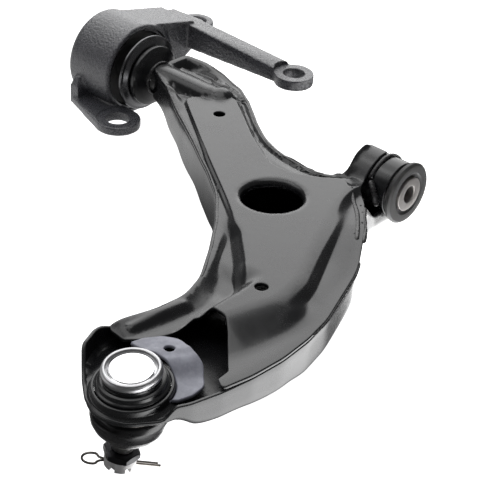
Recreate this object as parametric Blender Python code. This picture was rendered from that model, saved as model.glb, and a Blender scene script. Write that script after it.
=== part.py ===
"""Front lower control arm of a car: a box arm welded from two steel stampings, with a ball joint at
its outer end, a bush eye at the front, and a stem at the rear whose bush sits in a cast bracket
with three ears.

Frame: metres, +Z up. Both bushes share one hinge axis, which runs along X. The ball stud points
down. Every object hangs on the empty control_arm, whose own origin lies on the hinge axis;
ARM_ORIGIN puts the middle of the arm's footprint, at the height of its lowest point, at the world's
origin.
"""

import math

import bmesh
import bpy
import numpy as np
from mathutils import Matrix, Vector
from mathutils.geometry import delaunay_2d_cdt

MM = 0.001

# Where the hinge axis stands in the world frame
ARM_ORIGIN = (0.11510, 0.11285, 0.06765)

# Fits and sheet
GAP = 0.3 * MM
SHEET = 3.0 * MM
GRID = 10.0 * MM
SEGMENTS = 32

# The stampings: the panel's height over the hinge axis, and how it climbs towards the front
PANEL_HEIGHT = 15.0 * MM
PANEL_SLOPE = 0.032
PANEL_LEVEL_X = 33.0 * MM
NECK_STEP = 5.0 * MM
CHANNEL_STEP = 11.0 * MM
INNER_RIM_DROP = 6.0 * MM
OUTER_RIM_DROP = 10.0 * MM
RIM_WIDTH = 4.5 * MM
CORNER_RADIUS = 6.0 * MM
MAIN_HOLE = (-26.0 * MM, -97.0 * MM, 23.4 * MM)
MAIN_LIP = 6.0 * MM
SMALL_HOLE_R = 4.6 * MM
SMALL_HOLES = ((50.0 * MM, -198.0 * MM), (-146.0 * MM, -24.0 * MM))

# Front bush, along X
TUBE_R = 22.5 * MM
TUBE_BORE_R = 20.0 * MM
TUBE_X = (-10.0 * MM, 24.0 * MM)
FRONT_FLANGE_R = 25.3 * MM
FRONT_SLEEVE_R = 14.0 * MM
FRONT_BOLT_R = 6.7 * MM
FRONT_FACE_X = 33.0 * MM

# Rear stem and bush, along X
STEM_R = 12.0 * MM
STEM_TIP_X = -180.0 * MM
STEM_FLANGE_R = 27.0 * MM
WASHER_R = 34.0 * MM
WASHER_X = (-252.0 * MM, -249.0 * MM)
BRACKET_X = (-312.0 * MM, -262.0 * MM)
BRACKET_R = 41.0 * MM
BRACKET_BORE_R = 37.5 * MM

# Ball joint: its centre from the hinge axis, and its axis leans 5 degrees
BALL = Vector((52.0 * MM, -322.8 * MM, -4.3 * MM))
BALL_R = 13.5 * MM
BALL_AXIS_LEAN = math.radians(5.0)
CAP_R = 19.8 * MM
HOUSING_R = 24.2 * MM
COLLAR_R = 24.5 * MM
STUD_UP = Vector((0.099, 0.082, 0.992))
PIN_ALONG = Vector((0.70, 0.71, 0.0))

# Nut on the stud, from the ball's centre: its seat, where the hexagon ends and the crown starts,
# and its foot
NUT_TOP = -47.4 * MM
CROWN_TOP = -56.1 * MM
PIN_HEIGHT = -58.7 * MM
NUT_FOOT = -61.1 * MM

# Plan outlines from the hinge axis, in millimetres: x, y and the corner's radius
INNER_EDGE = [
    (-231, -11, 10), (-209, -22, 60), (-157, -55, 200), (-93, -97, 200), (-64, -119, 90), (-38, -148, 90),
    (-14, -181, 80), (6, -212, 60), (14, -236, 40), (11, -262, 60), (3, -287, 40),
]
OUTER_EDGE = [
    (104, -268, 60), (106, -240, 80), (104, -212, 80), (99, -186, 80), (90, -161, 100), (76, -122, 150),
    (61, -98, 60), (49, -79, 40), (38, -66, 40), (27, -51, 30),
]
FAR_EDGE = [
    (-12, -22, 8), (-20, -33, 14), (-36, -38, 25), (-62, -35, 60), (-90, -26, 100), (-118, -7, 150),
    (-147, 16, 60), (-170, 30, 30), (-196, 34, 40), (-218, 36, 30), (-233, 32, 10),
]
PLATE_CUTOUT = [
    (4, -299, 4), (17, -297, 5), (30, -285, 12), (37, -266, 14), (34, -246, 5), (42, -239, 8),
    (55, -240, 10), (65, -249, 10), (89, -275, 3), (90, -286, 2), (99, -292, 3),
]
PLATE_EAR = [(12, -37, 20), (6, -24, 6), (6, 4, 2), (-11, 4, 2)]
SHELL_BALL_END = [
    (-1, -306, 14), (6, -324, 14), (20, -337, 8), (34, -348, 20), (52, -354, 24), (70, -348, 20),
    (84, -333, 14), (94, -314, 20), (100, -292, 40),
]
SHELL_CRADLE = [(24, -30, 10), (22, 12, 9), (-10, 12, 9)]
RAISED_PANEL = [
    (-189, -20, 8), (-125, -68, 150), (-90, -93, 100), (-30, -136, 60), (-8, -153, 60), (20, -180, 40),
    (36, -200, 40), (42, -218, 25), (42, -240, 6), (52, -243, 6), (60, -226, 30), (69, -197, 20),
    (68, -175, 40), (44, -113, 200), (15, -56, 60), (6, -40, 10), (-4, -38, 10), (-17, -49, 20),
    (-39, -60, 30), (-60, -60, 30), (-76, -51, 30), (-105, -32, 100), (-135, -9, 100), (-158, 8, 8),
]
# Underside of the lower shell: x, y and height over the hinge axis, in millimetres
SHELL_FLOOR = [
    (-228, -8, -19), (-228, 30, -17), (-190, -30, -26), (-150, -58, -31), (-93, -97, -35), (-50, -135, -32),
    (-10, -185, -26), (12, -240, -15), (4, -290, -9), (84, -333, -11), (100, -290, -18),
    (104, -240, -21), (104, -210, -23),
    (90, -160, -23), (70, -112, -21), (47, -77, -22), (25, -40, -26), (10, 0, -27.5), (-12, -20, -27.5),
    (-60, -35, -28), (-110, -15, -26), (-160, 22, -22), (0, -100, -29), (45, -170, -23), (-60, -60, -29),
    (-150, -15, -26), (60, -235, -17),
]
GUSSET_EDGE = [
    (82, -316, 2), (88, -312, 4), (91, -303, 5), (84, -292, 10), (72, -279, 8), (56, -276, 10),
    (45, -274, 10),
    (35, -279, 8), (28, -289, 8), (25, -299, 2),
]
GUSSET_HOLE = (48.0 * MM, -286.0 * MM, 3.6 * MM)
# Ears of the cast bracket, in millimetres: x, y, the top face's height, thickness, radius, radius
# of its hole
NEAR_EAR = (-243, -46, -24.5, 8, 20, 10.4)
LONG_EAR = (-154, 83, 9, 10, 17.5, 9.4)
BACK_EAR = (-297, 111, 2, 9, 16, 8.8)

# Colours are linear red, green, blue; then metallic and roughness
FINISHES = {
    "black_coat": ((0.022, 0.022, 0.024), 0.0, 0.22),
    "cast_coat": ((0.045, 0.045, 0.048), 0.1, 0.55),
    "bright_steel": ((0.72, 0.72, 0.73), 1.0, 0.16),
    "zinc_grey": ((0.42, 0.42, 0.44), 1.0, 0.38),
    "bush_rubber": ((0.055, 0.055, 0.057), 0.0, 0.62),
    "boot_rubber": ((0.016, 0.016, 0.017), 0.0, 0.34),
    "seat_polymer": ((0.68, 0.67, 0.62), 0.0, 0.45),
    "wire_steel": ((0.16, 0.15, 0.14), 1.0, 0.42),
}


def material(name):
    """The Principled BSDF material of one finish, made the first time it is asked for."""
    if name in bpy.data.materials:
        return bpy.data.materials[name]
    colour, metallic, roughness = FINISHES[name]
    made = bpy.data.materials.new(name)
    made.use_nodes = True
    shader = made.node_tree.nodes["Principled BSDF"]
    shader.inputs["Base Color"].default_value = (*colour, 1.0)
    shader.inputs["Metallic"].default_value = metallic
    shader.inputs["Roughness"].default_value = roughness
    return made


def empty(name, parent=None, place=None):
    made = bpy.data.objects.new(name, None)
    bpy.context.scene.collection.objects.link(made)
    made.parent = parent
    if place is not None:
        made.matrix_local = place
    return made


def solid(name, bm, finish, parent):
    """An object from a bmesh, smooth but for its sharp edges, hung on parent."""
    bmesh.ops.recalc_face_normals(bm, faces=bm.faces)
    mesh = bpy.data.meshes.new(name)
    bm.to_mesh(mesh)
    bm.free()
    mesh.materials.append(material(finish))
    mesh.shade_smooth()
    mesh.set_sharp_from_angle(angle=math.radians(32))
    made = bpy.data.objects.new(name, mesh)
    bpy.context.scene.collection.objects.link(made)
    made.parent = parent
    return made


def combine(target, bm, operation, label):
    """Adds a Boolean to target with a hidden helper made from bm, in the same parent's frame."""
    helper = solid(f"{target.name}_{label}", bm, "black_coat", target.parent)
    helper.hide_render = True
    helper.display_type = "WIRE"
    modifier = target.modifiers.new(label, "BOOLEAN")
    modifier.operation = operation
    modifier.object = helper


def along_x(x=0.0):
    """Turns a shape that was made around Z so that its axis points along X, starting at x."""
    return Matrix.Translation((x, 0, 0)) @ Matrix.Rotation(math.radians(90), 4, "Y")


def lathe(profile, segments=SEGMENTS, place=None):
    """A turned solid from (radius, height) points: a closed ring, or solid where it starts and
    ends at radius 0.
    """
    bm = bmesh.new()
    rings = []
    for radius, height in profile:
        count = segments if radius > 0 else 1
        turn = [2 * math.pi * i / segments for i in range(count)]
        rings.append([bm.verts.new((radius * math.cos(a), radius * math.sin(a), height)) for a in turn])
    if profile[0][0] > 0:
        rings.append(rings[0])
    for low, high in zip(rings, rings[1:]):
        for i in range(segments):
            j = (i + 1) % segments
            corners = (low[i % len(low)], low[j % len(low)], high[j % len(high)], high[i % len(high)])
            bm.faces.new(list(dict.fromkeys(corners)))
    if place is not None:
        bm.transform(place)
    bmesh.ops.recalc_face_normals(bm, faces=bm.faces)
    return bm


def tube(outer, inner, low, high, place=None, segments=SEGMENTS):
    return lathe([(outer, low), (outer, high), (inner, high), (inner, low)], segments, place)


def rod(radius, low, high, place=None, segments=SEGMENTS):
    return lathe([(0, low), (radius, low), (radius, high), (0, high)], segments, place)


def arc(centre_r, centre_h, radius, start, end, count):
    """Profile points on an arc, from angle start to end in degrees, counted from the radial direction."""
    angles = np.radians(np.linspace(start, end, count))
    return [(centre_r + radius * math.cos(a), centre_h + radius * math.sin(a)) for a in angles]


def disc(x, y, z, radius, count=24):
    turn = [2 * math.pi * i / count for i in range(count)]
    return [(x + radius * math.cos(a), y + radius * math.sin(a), z) for a in turn]


def hull(points):
    """The convex solid around some points."""
    bm = bmesh.new()
    for point in points:
        bm.verts.new(point)
    made = bmesh.ops.convex_hull(bm, input=bm.verts)
    spare = {v for v in made["geom_interior"] + made["geom_unused"] if isinstance(v, bmesh.types.BMVert)}
    bmesh.ops.delete(bm, geom=list(spare), context="VERTS")
    return bm


def rounded(corners, step=9.0):
    """A closed outline in metres from (x, y, radius) corners in millimetres, its corners turned
    into arcs.
    """
    points = []
    for i, (x, y, radius) in enumerate(corners):
        here = Vector((x, y))
        back = Vector(corners[i - 1][:2]) - here
        on = Vector(corners[(i + 1) % len(corners)][:2]) - here
        half = back.angle(on) / 2
        reach = min(radius / math.tan(half), 0.48 * back.length, 0.48 * on.length)
        radius = reach * math.tan(half)
        centre = here + (back.normalized() + on.normalized()).normalized() * (radius / math.sin(half))
        start, end = here + back.normalized() * reach - centre, here + on.normalized() * reach - centre
        sweep = start.angle_signed(end)
        count = max(1, math.ceil(max(abs(sweep) * radius / step, abs(sweep) / math.radians(24))))
        for k in range(count + 1):
            turned = start.copy()
            turned.rotate(Matrix.Rotation(-sweep * k / count, 2))
            points.append((centre + turned) * MM)
    return np.array([(p.x, p.y) for p in points])


def circle(x, y, radius, count=28):
    turn = np.arange(count) * 2 * math.pi / count
    return np.stack([x + radius * np.cos(turn), y + radius * np.sin(turn)], 1)


def evened(loop, most, least=1.5 * MM):
    """Drops points of a closed outline that lie too close together, then splits its long edges."""
    kept = [loop[0]]
    for point in loop[1:]:
        if np.hypot(*(point - kept[-1])) >= least:
            kept.append(point)
    if np.hypot(*(kept[0] - kept[-1])) < least:
        kept.pop()
    split = []
    for point, following in zip(kept, kept[1:] + kept[:1]):
        parts = math.ceil(np.hypot(*(following - point)) / most)
        split += [point + (following - point) * k / parts for k in range(parts)]
    return np.array(split)


def inside_distance(x, y, loop):
    """Distance of each point to a closed outline, positive inside it."""
    x, y = np.asarray(x, float), np.asarray(y, float)
    nearest = np.full(x.shape, np.inf)
    inside = np.zeros(x.shape, bool)
    for (ax, ay), (bx, by) in zip(loop, np.roll(loop, -1, 0)):
        dx, dy = bx - ax, by - ay
        t = np.clip(((x - ax) * dx + (y - ay) * dy) / (dx * dx + dy * dy), 0, 1)
        nearest = np.minimum(nearest, np.hypot(x - ax - t * dx, y - ay - t * dy))
        if ay != by:
            inside ^= ((ay > y) != (by > y)) & (x < (y - ay) * dx / dy + ax)
    return np.where(inside, nearest, -nearest)


def smooth(value):
    t = np.clip(value, 0, 1)
    return t * t * (3 - 2 * t)


def smooth_max(a, b, soft=2.0 * MM):
    h = np.clip(0.5 + 0.5 * (a - b) / soft, 0, 1)
    return b + (a - b) * h + soft * h * (1 - h)


def grid_points(outline, step, fine_areas):
    """Inner points of a plan: an even grid, and a finer one inside each of some (x0, x1, y0, y1,
    step) areas.
    """
    low, high = outline.min(0), outline.max(0)
    xs, ys = np.meshgrid(np.arange(low[0], high[0], step), np.arange(low[1], high[1], step))
    points = np.stack([xs.ravel(), ys.ravel()], 1)
    spaces = np.full(len(points), step)
    for x0, x1, y0, y1, fine in fine_areas:
        within = (points[:, 0] > x0) & (points[:, 0] < x1) & (points[:, 1] > y0) & (points[:, 1] < y1)
        xs, ys = np.meshgrid(np.arange(x0, x1 + fine / 2, fine), np.arange(y0, y1 + fine / 2, fine))
        points = np.concatenate([points[~within], np.stack([xs.ravel(), ys.ravel()], 1)])
        spaces = np.concatenate([spaces[~within], np.full(xs.size, fine)])
    return points, spaces


def triangulated(outline, holes, step=GRID, fine_areas=(), rim=None):
    """Plan points and triangles inside outline and outside holes, with a ring of points rim inside
    the outline.
    """
    inner, spaces = grid_points(outline, step, fine_areas)
    edge = 0 if rim is None else rim
    keep = inside_distance(inner[:, 0], inner[:, 1], outline) > edge + 0.45 * spaces
    if rim is not None:
        ring = inset(outline, rim)
        inner, spaces = np.concatenate([inner, ring]), np.concatenate([spaces, np.full(len(ring), rim)])
        keep = np.append(keep, inside_distance(ring[:, 0], ring[:, 1], outline) > 0.9 * rim)
    for hole in holes:
        keep &= inside_distance(inner[:, 0], inner[:, 1], hole) < -0.45 * spaces
    points = [Vector(p) for p in outline]
    edges = [(i, (i + 1) % len(outline)) for i in range(len(outline))]
    for hole in holes:
        first = len(points)
        points += [Vector(p) for p in hole]
        edges += [(first + i, first + (i + 1) % len(hole)) for i in range(len(hole))]
    points += [Vector(p) for p in inner[keep]]
    plan, _, faces, _, _, _ = delaunay_2d_cdt(points, edges, [], 0, 1e-7)
    plan = np.array([tuple(p) for p in plan])
    faces = np.array(faces)
    middle = plan[faces].mean(1)
    keep = inside_distance(middle[:, 0], middle[:, 1], outline) > 0
    for hole in holes:
        keep &= inside_distance(middle[:, 0], middle[:, 1], hole) < 0
    return plan, faces[keep]


def skins(bm, plan, faces, lower, upper):
    """Adds the lower and upper skin of a sheet over a plan. Returns the two lists of vertices."""
    bottom = [bm.verts.new((p[0], p[1], z)) for p, z in zip(plan, lower)]
    top = [bm.verts.new((p[0], p[1], z)) for p, z in zip(plan, upper)]
    for face in faces:
        bm.faces.new([top[i] for i in face])
        bm.faces.new([bottom[i] for i in reversed(face)])
    return bottom, top


def border(faces):
    """The directed edges that only one triangle uses."""
    edges = {(a, b) for f in faces for a, b in ((f[0], f[1]), (f[1], f[2]), (f[2], f[0]))}
    return sorted(edge for edge in edges if edge[::-1] not in edges)


def sheet(outline, holes, height, fine_areas=(), rim=None):
    """A pressed sheet: its top skin stands at height(x, y), its lower skin is SHEET below."""
    plan, faces = triangulated(outline, holes, GRID, fine_areas, rim)
    upper = height(plan[:, 0], plan[:, 1])
    bm = bmesh.new()
    bottom, top = skins(bm, plan, faces, upper - SHEET, upper)
    for a, b in border(faces):
        bm.faces.new((top[b], top[a], bottom[a], bottom[b]))
    loose = [v for v in bm.verts if not v.link_faces]
    bmesh.ops.delete(bm, geom=loose, context="VERTS")
    return bm


def inset(loop, distance):
    """A closed anticlockwise outline moved inwards by distance, a number or one for each point."""
    along = np.roll(loop, -1, 0) - np.roll(loop, 1, 0)
    along /= np.hypot(along[:, 0], along[:, 1])[:, None]
    return loop + np.stack([-along[:, 1], along[:, 0]], 1) * np.reshape(distance, (-1, 1))


def panel_level(x):
    return PANEL_HEIGHT + PANEL_SLOPE * (x - PANEL_LEVEL_X)


def rim_drop(x):
    """How far the welded rim lies under the panel: less on the inner side than on the outer one."""
    return INNER_RIM_DROP + (OUTER_RIM_DROP - INNER_RIM_DROP) * smooth((x - 20 * MM) / (40 * MM))


PLATE_OUTLINE = evened(rounded(INNER_EDGE + PLATE_CUTOUT + OUTER_EDGE + PLATE_EAR + FAR_EDGE), 9 * MM)
SHELL_OUTLINE = evened(rounded(INNER_EDGE + SHELL_BALL_END + OUTER_EDGE + SHELL_CRADLE + FAR_EDGE), 14 * MM)
PANEL_OUTLINE = rounded(RAISED_PANEL)


def plate_height(x, y):
    """Top of the upper plate: a raised panel between pressed channels, domed over the stem and the
    front tube.
    """
    outside = -inside_distance(x, y, PANEL_OUTLINE)
    step = NECK_STEP + (CHANNEL_STEP - NECK_STEP) * smooth((-y - 80 * MM) / (60 * MM))
    slope = 6 * MM + 16 * MM * smooth((-y - 205 * MM) / (20 * MM)) * smooth((x - 44 * MM) / (10 * MM))
    drop = step * smooth(outside / slope)
    from_edge = inside_distance(x, y, SHELL_OUTLINE)
    rim = smooth((2.4 * RIM_WIDTH - from_edge) / (1.2 * RIM_WIDTH)) * smooth(outside / (4 * MM))
    drop = drop + (rim_drop(x) - drop) * rim
    from_hole = np.hypot(x - MAIN_HOLE[0], y - MAIN_HOLE[1]) - MAIN_HOLE[2]
    drop = drop + 3.5 * MM * np.clip(1 - from_hole / MAIN_LIP, 0, 1) ** 2
    z = panel_level(x) - drop
    dome = STEM_R + GAP + SHEET + 0.3 * MM
    past_tip = np.maximum(x - STEM_TIP_X, 0)
    z = smooth_max(z, np.sqrt(np.maximum(dome**2 - y**2 - past_tip**2, 0)) - 1e-6)
    saddle = TUBE_R + GAP + SHEET + 0.2 * MM
    over_tube = np.sqrt(np.maximum(saddle**2 - y**2, 0))
    return np.where(x > -25 * MM, smooth_max(z, over_tube), z)


def shell_floor(x, y):
    """Underside of the lower shell: pressed heights blended by nearness, and a flat seat around
    the ball joint.
    """
    stations = np.array(SHELL_FLOOR, float) * MM
    away = np.hypot(x[:, None] - stations[:, 0], y[:, None] - stations[:, 1]) + 4 * MM
    weight = away**-3.0
    z = (weight * stations[:, 2]).sum(1) / weight.sum(1)
    seat = BALL.z - 2.8 * MM + math.tan(BALL_AXIS_LEAN) * (y - BALL.y)
    from_ball = np.hypot(x - BALL.x, y - BALL.y)
    return seat + (z - seat) * smooth((from_ball - 32 * MM) / (14 * MM))


def shell_rim(x, y):
    """Top of the shell's wall: it meets the plate, drops away in front of the ball, and cradles
    the front tube.
    """
    under_plate = panel_level(x) - rim_drop(x) - SHEET - GAP
    horn = smooth((-y - 301 * MM) / (10 * MM)) * smooth((40 * MM - x) / (20 * MM))
    z = under_plate + 3 * MM * horn
    cut = -341 * MM + (x - 20 * MM) * 0.22
    open_inner = smooth((-321 * MM - y) / (20 * MM))
    open_outer = smooth((cut + 4 * MM - y) / (8 * MM))
    open_front = open_inner + (open_outer - open_inner) * smooth((x - 40 * MM) / (20 * MM))
    z = z + (shell_floor(x, y) + SHEET + 0.5 * MM - z) * open_front
    cradle = smooth((x - 6 * MM) / (10 * MM)) * smooth((y + 52 * MM) / (22 * MM))
    return z + (-11 * MM - z) * cradle


def make_upper_plate(arm):
    holes = [circle(*MAIN_HOLE, count=36)] + [circle(x, y, SMALL_HOLE_R, 16) for x, y in SMALL_HOLES]
    over_stem = (-234 * MM, -162 * MM, -18 * MM, 18 * MM, 4.5 * MM)
    over_tube = (-24 * MM, 12 * MM, -44 * MM, 4 * MM, 4.5 * MM)
    bm = sheet(PLATE_OUTLINE, holes, plate_height, (over_stem, over_tube), RIM_WIDTH)
    solid("upper_plate", bm, "black_coat", arm)


def make_lower_shell(arm):
    """A pan: walls with a rounded foot around a pressed floor, and a collar that the ball joint is
    pressed into.
    """
    loop = SHELL_OUTLINE
    x, y = loop[:, 0], loop[:, 1]
    floor, rim = shell_floor(x, y), shell_rim(x, y)
    foot = np.minimum(CORNER_RADIUS, 0.45 * (rim - floor))
    floor_loop = inset(loop, np.maximum(foot, SHEET + 0.3 * MM))
    ball_hole = circle(BALL.x, BALL.y, COLLAR_R + 0.9 * MM, 32)
    drain = circle(*MAIN_HOLE[:2], 15 * MM, 24)
    plan, faces = triangulated(floor_loop, [ball_hole, drain], 1.6 * GRID)
    under = shell_floor(plan[:, 0], plan[:, 1])
    bm = bmesh.new()
    bottom, top = skins(bm, plan, faces, under, under + SHEET)
    for a, b in border(faces):
        if max(a, b) >= len(floor_loop):
            bm.faces.new((top[b], top[a], bottom[a], bottom[b]))
    rings = [[bottom[i] for i in range(len(loop))]]
    walls = (
        (0.3 * foot, floor + 0.3 * foot), (0, floor + foot), (0, rim), (SHEET, rim),
        (SHEET, floor + np.maximum(foot, SHEET + 0.2 * MM)),
    )
    for distance, z in walls:
        moved = inset(loop, distance)
        rings.append([bm.verts.new((p[0], p[1], h)) for p, h in zip(moved, z)])
    rings.append([top[i] for i in range(len(loop))])
    for low, high in zip(rings, rings[1:]):
        for i in range(len(loop)):
            j = (i + 1) % len(loop)
            bm.faces.new((low[i], low[j], high[j], high[i]))
    bmesh.ops.delete(bm, geom=[v for v in bm.verts if not v.link_faces], context="VERTS")
    shell = solid("lower_shell", bm, "black_coat", arm)
    lean = Matrix.Translation(BALL) @ Matrix.Rotation(BALL_AXIS_LEAN, 4, "X")
    collar = tube(COLLAR_R + 2.2 * MM, COLLAR_R, -1.2 * MM, 7 * MM, lean, 32)
    combine(shell, collar, "UNION", "collar")
    combine(shell, rod(TUBE_R + GAP, -60 * MM, 60 * MM, along_x(), 40), "DIFFERENCE", "tube_seat")
    combine(shell, rod(STEM_R + GAP, -250 * MM, -176 * MM, along_x()), "DIFFERENCE", "stem_way")


def gusset_height(x, y):
    """Flat beside the housing, then bent down towards the outer wall."""
    along = (x - 40 * MM) * 0.82 - (y + 280 * MM) * 0.57
    return 8 * MM - 7.6 * MM * smooth((along - 27 * MM) / (22 * MM))


def make_joint_gusset(arm):
    start, end = math.radians(118), math.radians(12)
    turn = np.linspace(start, end, 14)
    inner = np.stack([BALL.x + 27.4 * MM * np.cos(turn), BALL.y + 27.4 * MM * np.sin(turn)], 1)
    outline = evened(np.concatenate([inner, rounded(GUSSET_EDGE)]), 9 * MM)
    bm = sheet(outline, [circle(*GUSSET_HOLE, count=12)], gusset_height)
    solid("joint_gusset", bm, "black_coat", arm)


def make_front_bush(arm, front_sleeve):
    low, high = TUBE_X
    solid("front_bush_tube", tube(TUBE_R, TUBE_BORE_R, low, high, along_x()), "black_coat", arm)
    case = tube(TUBE_BORE_R - GAP, 17.8 * MM, low - 2 * MM, high + 3 * MM, along_x())
    solid("front_bush_case", case, "zinc_grey", arm)
    face, far = FRONT_FACE_X - 0.6 * MM, low - 5 * MM
    inner, body, edge = FRONT_SLEEVE_R + GAP, 17.8 * MM - GAP, FRONT_FLANGE_R
    near_back, far_back = high + 3 * MM + GAP, low - 2 * MM - GAP
    rubber = [
        (inner, far + 0.8 * MM), (inner + 1.6 * MM, far), (20.3 * MM, far), (21.5 * MM, far + 1 * MM),
        (21.2 * MM, far_back), (body, far_back), (body, near_back), (edge - 0.6 * MM, near_back),
        (edge, face - 1.4 * MM), (edge - 1.2 * MM, face), (inner + 1.6 * MM, face), (inner, face - 0.8 * MM),
    ]
    solid("front_bush_rubber", lathe(rubber, place=along_x()), "bush_rubber", arm)
    sleeve = tube(FRONT_SLEEVE_R, FRONT_BOLT_R, far - 0.6 * MM, FRONT_FACE_X, along_x())
    solid("front_inner_sleeve", sleeve, "zinc_grey", front_sleeve)


def make_stem(arm):
    """The forged stem: thread, spigot for the bush, stop flange, and the shank held between the
    stampings.
    """
    profile = [
        (0, -336 * MM), (7 * MM, -336 * MM), (8 * MM, -335 * MM), (8 * MM, -314 * MM), (10 * MM, -312 * MM),
        (10 * MM, -248.7 * MM), (STEM_FLANGE_R - 1 * MM, -248.7 * MM), (STEM_FLANGE_R, -247.5 * MM),
        (STEM_FLANGE_R, -244 * MM), (STEM_FLANGE_R - 4 * MM, -242 * MM), (17 * MM, -240 * MM),
        (13 * MM, -237 * MM), (STEM_R, -234 * MM), (STEM_R, STEM_TIP_X - 2 * MM),
        (STEM_R - 4 * MM, STEM_TIP_X),
        (0, STEM_TIP_X),
    ]
    solid("rear_stem", lathe(profile, place=along_x()), "black_coat", arm)


def make_rear_bush(arm, bracket):
    back, front = BRACKET_X
    case = tube(BRACKET_BORE_R - GAP, 34.8 * MM, back + 3 * MM, front - 1 * MM, along_x(), 40)
    solid("rear_bush_case", case, "zinc_grey", bracket)
    inner = 14.2 * MM
    rubber = [
        (inner + GAP, back + 8 * MM), (24 * MM, back + 12 * MM), (34.5 * MM, back + 7 * MM),
        (34.5 * MM, front - 6 * MM), (24 * MM, front - 11 * MM), (inner + GAP, front - 5 * MM),
    ]
    solid("rear_bush_rubber", lathe(rubber, 40, along_x()), "bush_rubber", bracket)
    sleeve = tube(inner, 10.3 * MM, back - 2 * MM, WASHER_X[0] - GAP, along_x())
    solid("rear_inner_sleeve", sleeve, "zinc_grey", arm)
    low, high = WASHER_X
    dished = [
        (10.3 * MM, low), (26 * MM, low), (31 * MM, low - 3 * MM), (WASHER_R, low - 3 * MM),
        (WASHER_R, low - 0.5 * MM), (31.6 * MM, low), (28 * MM, high - GAP), (10.3 * MM, high - GAP),
    ]
    solid("front_stop_washer", lathe(dished, 40, along_x()), "zinc_grey", arm)
    washer = tube(21 * MM, 8.3 * MM, back - 5.3 * MM, back - 2 * MM - GAP, along_x())
    solid("rear_washer", washer, "zinc_grey", arm)
    nut = hexagon(24 * MM, -331 * MM, back - 5.3 * MM - GAP)
    nut.transform(along_x())
    made = solid("stem_nut", nut, "zinc_grey", arm)
    combine(made, rod(8.3 * MM, -340 * MM, -310 * MM, along_x()), "DIFFERENCE", "bore")


def hexagon(across_flats, low, high):
    """A hexagonal prism with chamfered points, around Z."""
    corner = across_flats / math.sqrt(3)
    bm = bmesh.new()
    rings = []
    bevel = 1 * MM
    profile = ((low, corner * 0.93), (low + bevel, corner), (high - bevel, corner), (high, corner * 0.93))
    for z, radius in profile:
        turn = [math.pi * (i / 3 + 1 / 6) for i in range(6)]
        rings.append([bm.verts.new((radius * math.cos(a), radius * math.sin(a), z)) for a in turn])
    for a, b in zip(rings, rings[1:]):
        for i in range(6):
            bm.faces.new((a[i], a[(i + 1) % 6], b[(i + 1) % 6], b[i]))
    bm.faces.new(rings[0][::-1])
    bm.faces.new(rings[-1])
    return bm


def ear_solid(ear, *root):
    """The hull of an ear's disc and the points of the root that carries it."""
    x, y, top, thickness, radius, _ = (value * MM for value in ear)
    return hull(disc(x, y, top - thickness, radius) + disc(x, y, top, radius) + list(root))


def ear_neck(ear, radius, rise):
    """Where an arm meets its ear: narrower than the ear, and ending rise above its face."""
    x, y, top, thickness, _, _ = (value * MM for value in ear)
    lower = disc(x, y, top - thickness + 0.5 * MM, radius * MM)
    return lower + disc(x, y, top + rise * MM, (radius - 2) * MM)


def box_points(xs, ys, zs):
    return [(x * MM, y * MM, z * MM) for x in xs for y in ys for z in zs]


def make_rear_bracket(bracket):
    """A thick ring around the bush, with a short ear, a back ear, and a tapered arm that carries
    the long ear.
    """
    back, front = BRACKET_X
    body = [
        (0, back), (BRACKET_R - 3 * MM, back), (BRACKET_R, back + 3.5 * MM), (BRACKET_R, front - 1 * MM),
        (BRACKET_R - 1 * MM, front), (0, front),
    ]
    cast = solid("rear_bracket", lathe(body, 40, along_x()), "cast_coat", bracket)
    near_root = box_points((-301, -272), (-47, -24), (-31.5, -25))
    combine(cast, ear_solid(NEAR_EAR, *near_root), "UNION", "near_ear")
    lug = box_points((-302, -292), (-47, -30), (-22, -14)) + box_points((-300, -294), (-44, -34), (-7, -6))
    combine(cast, hull(lug), "UNION", "lug")
    web_profile = ((4, 40), (72, 24), (76, -1), (26, -29))
    web = [(x * MM, y * MM, z * MM) for x in (-307, -265) for y, z in web_profile]
    combine(cast, hull(web), "UNION", "web")
    back_root = box_points((-306, -268), (64, 86), (-3, 18))
    combine(cast, hull(ear_neck(BACK_EAR, 9, -0.4) + back_root), "UNION", "back_arm")
    combine(cast, ear_solid(BACK_EAR), "UNION", "back_ear")
    arm_profile = ((64, -1), (64, 23), (91, -1), (86, 19))
    arm_root = [(x * MM, y * MM, z * MM) for x in (-304, -266) for y, z in arm_profile]
    combine(cast, hull(ear_neck(LONG_EAR, 12, 1) + arm_root), "UNION", "long_arm")
    combine(cast, ear_solid(LONG_EAR), "UNION", "long_ear")
    bore = rod(BRACKET_BORE_R, back - 5 * MM, front + 5 * MM, along_x(), 40)
    combine(cast, bore, "DIFFERENCE", "bore")
    for label, ear in (("near", NEAR_EAR), ("long", LONG_EAR), ("back", BACK_EAR)):
        x, y, top, _, _, hole = (value * MM for value in ear)
        cutter = rod(hole, -30 * MM, 30 * MM, Matrix.Translation((x, y, top)), 24)
        combine(cast, cutter, "DIFFERENCE", f"{label}_hole")


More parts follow.
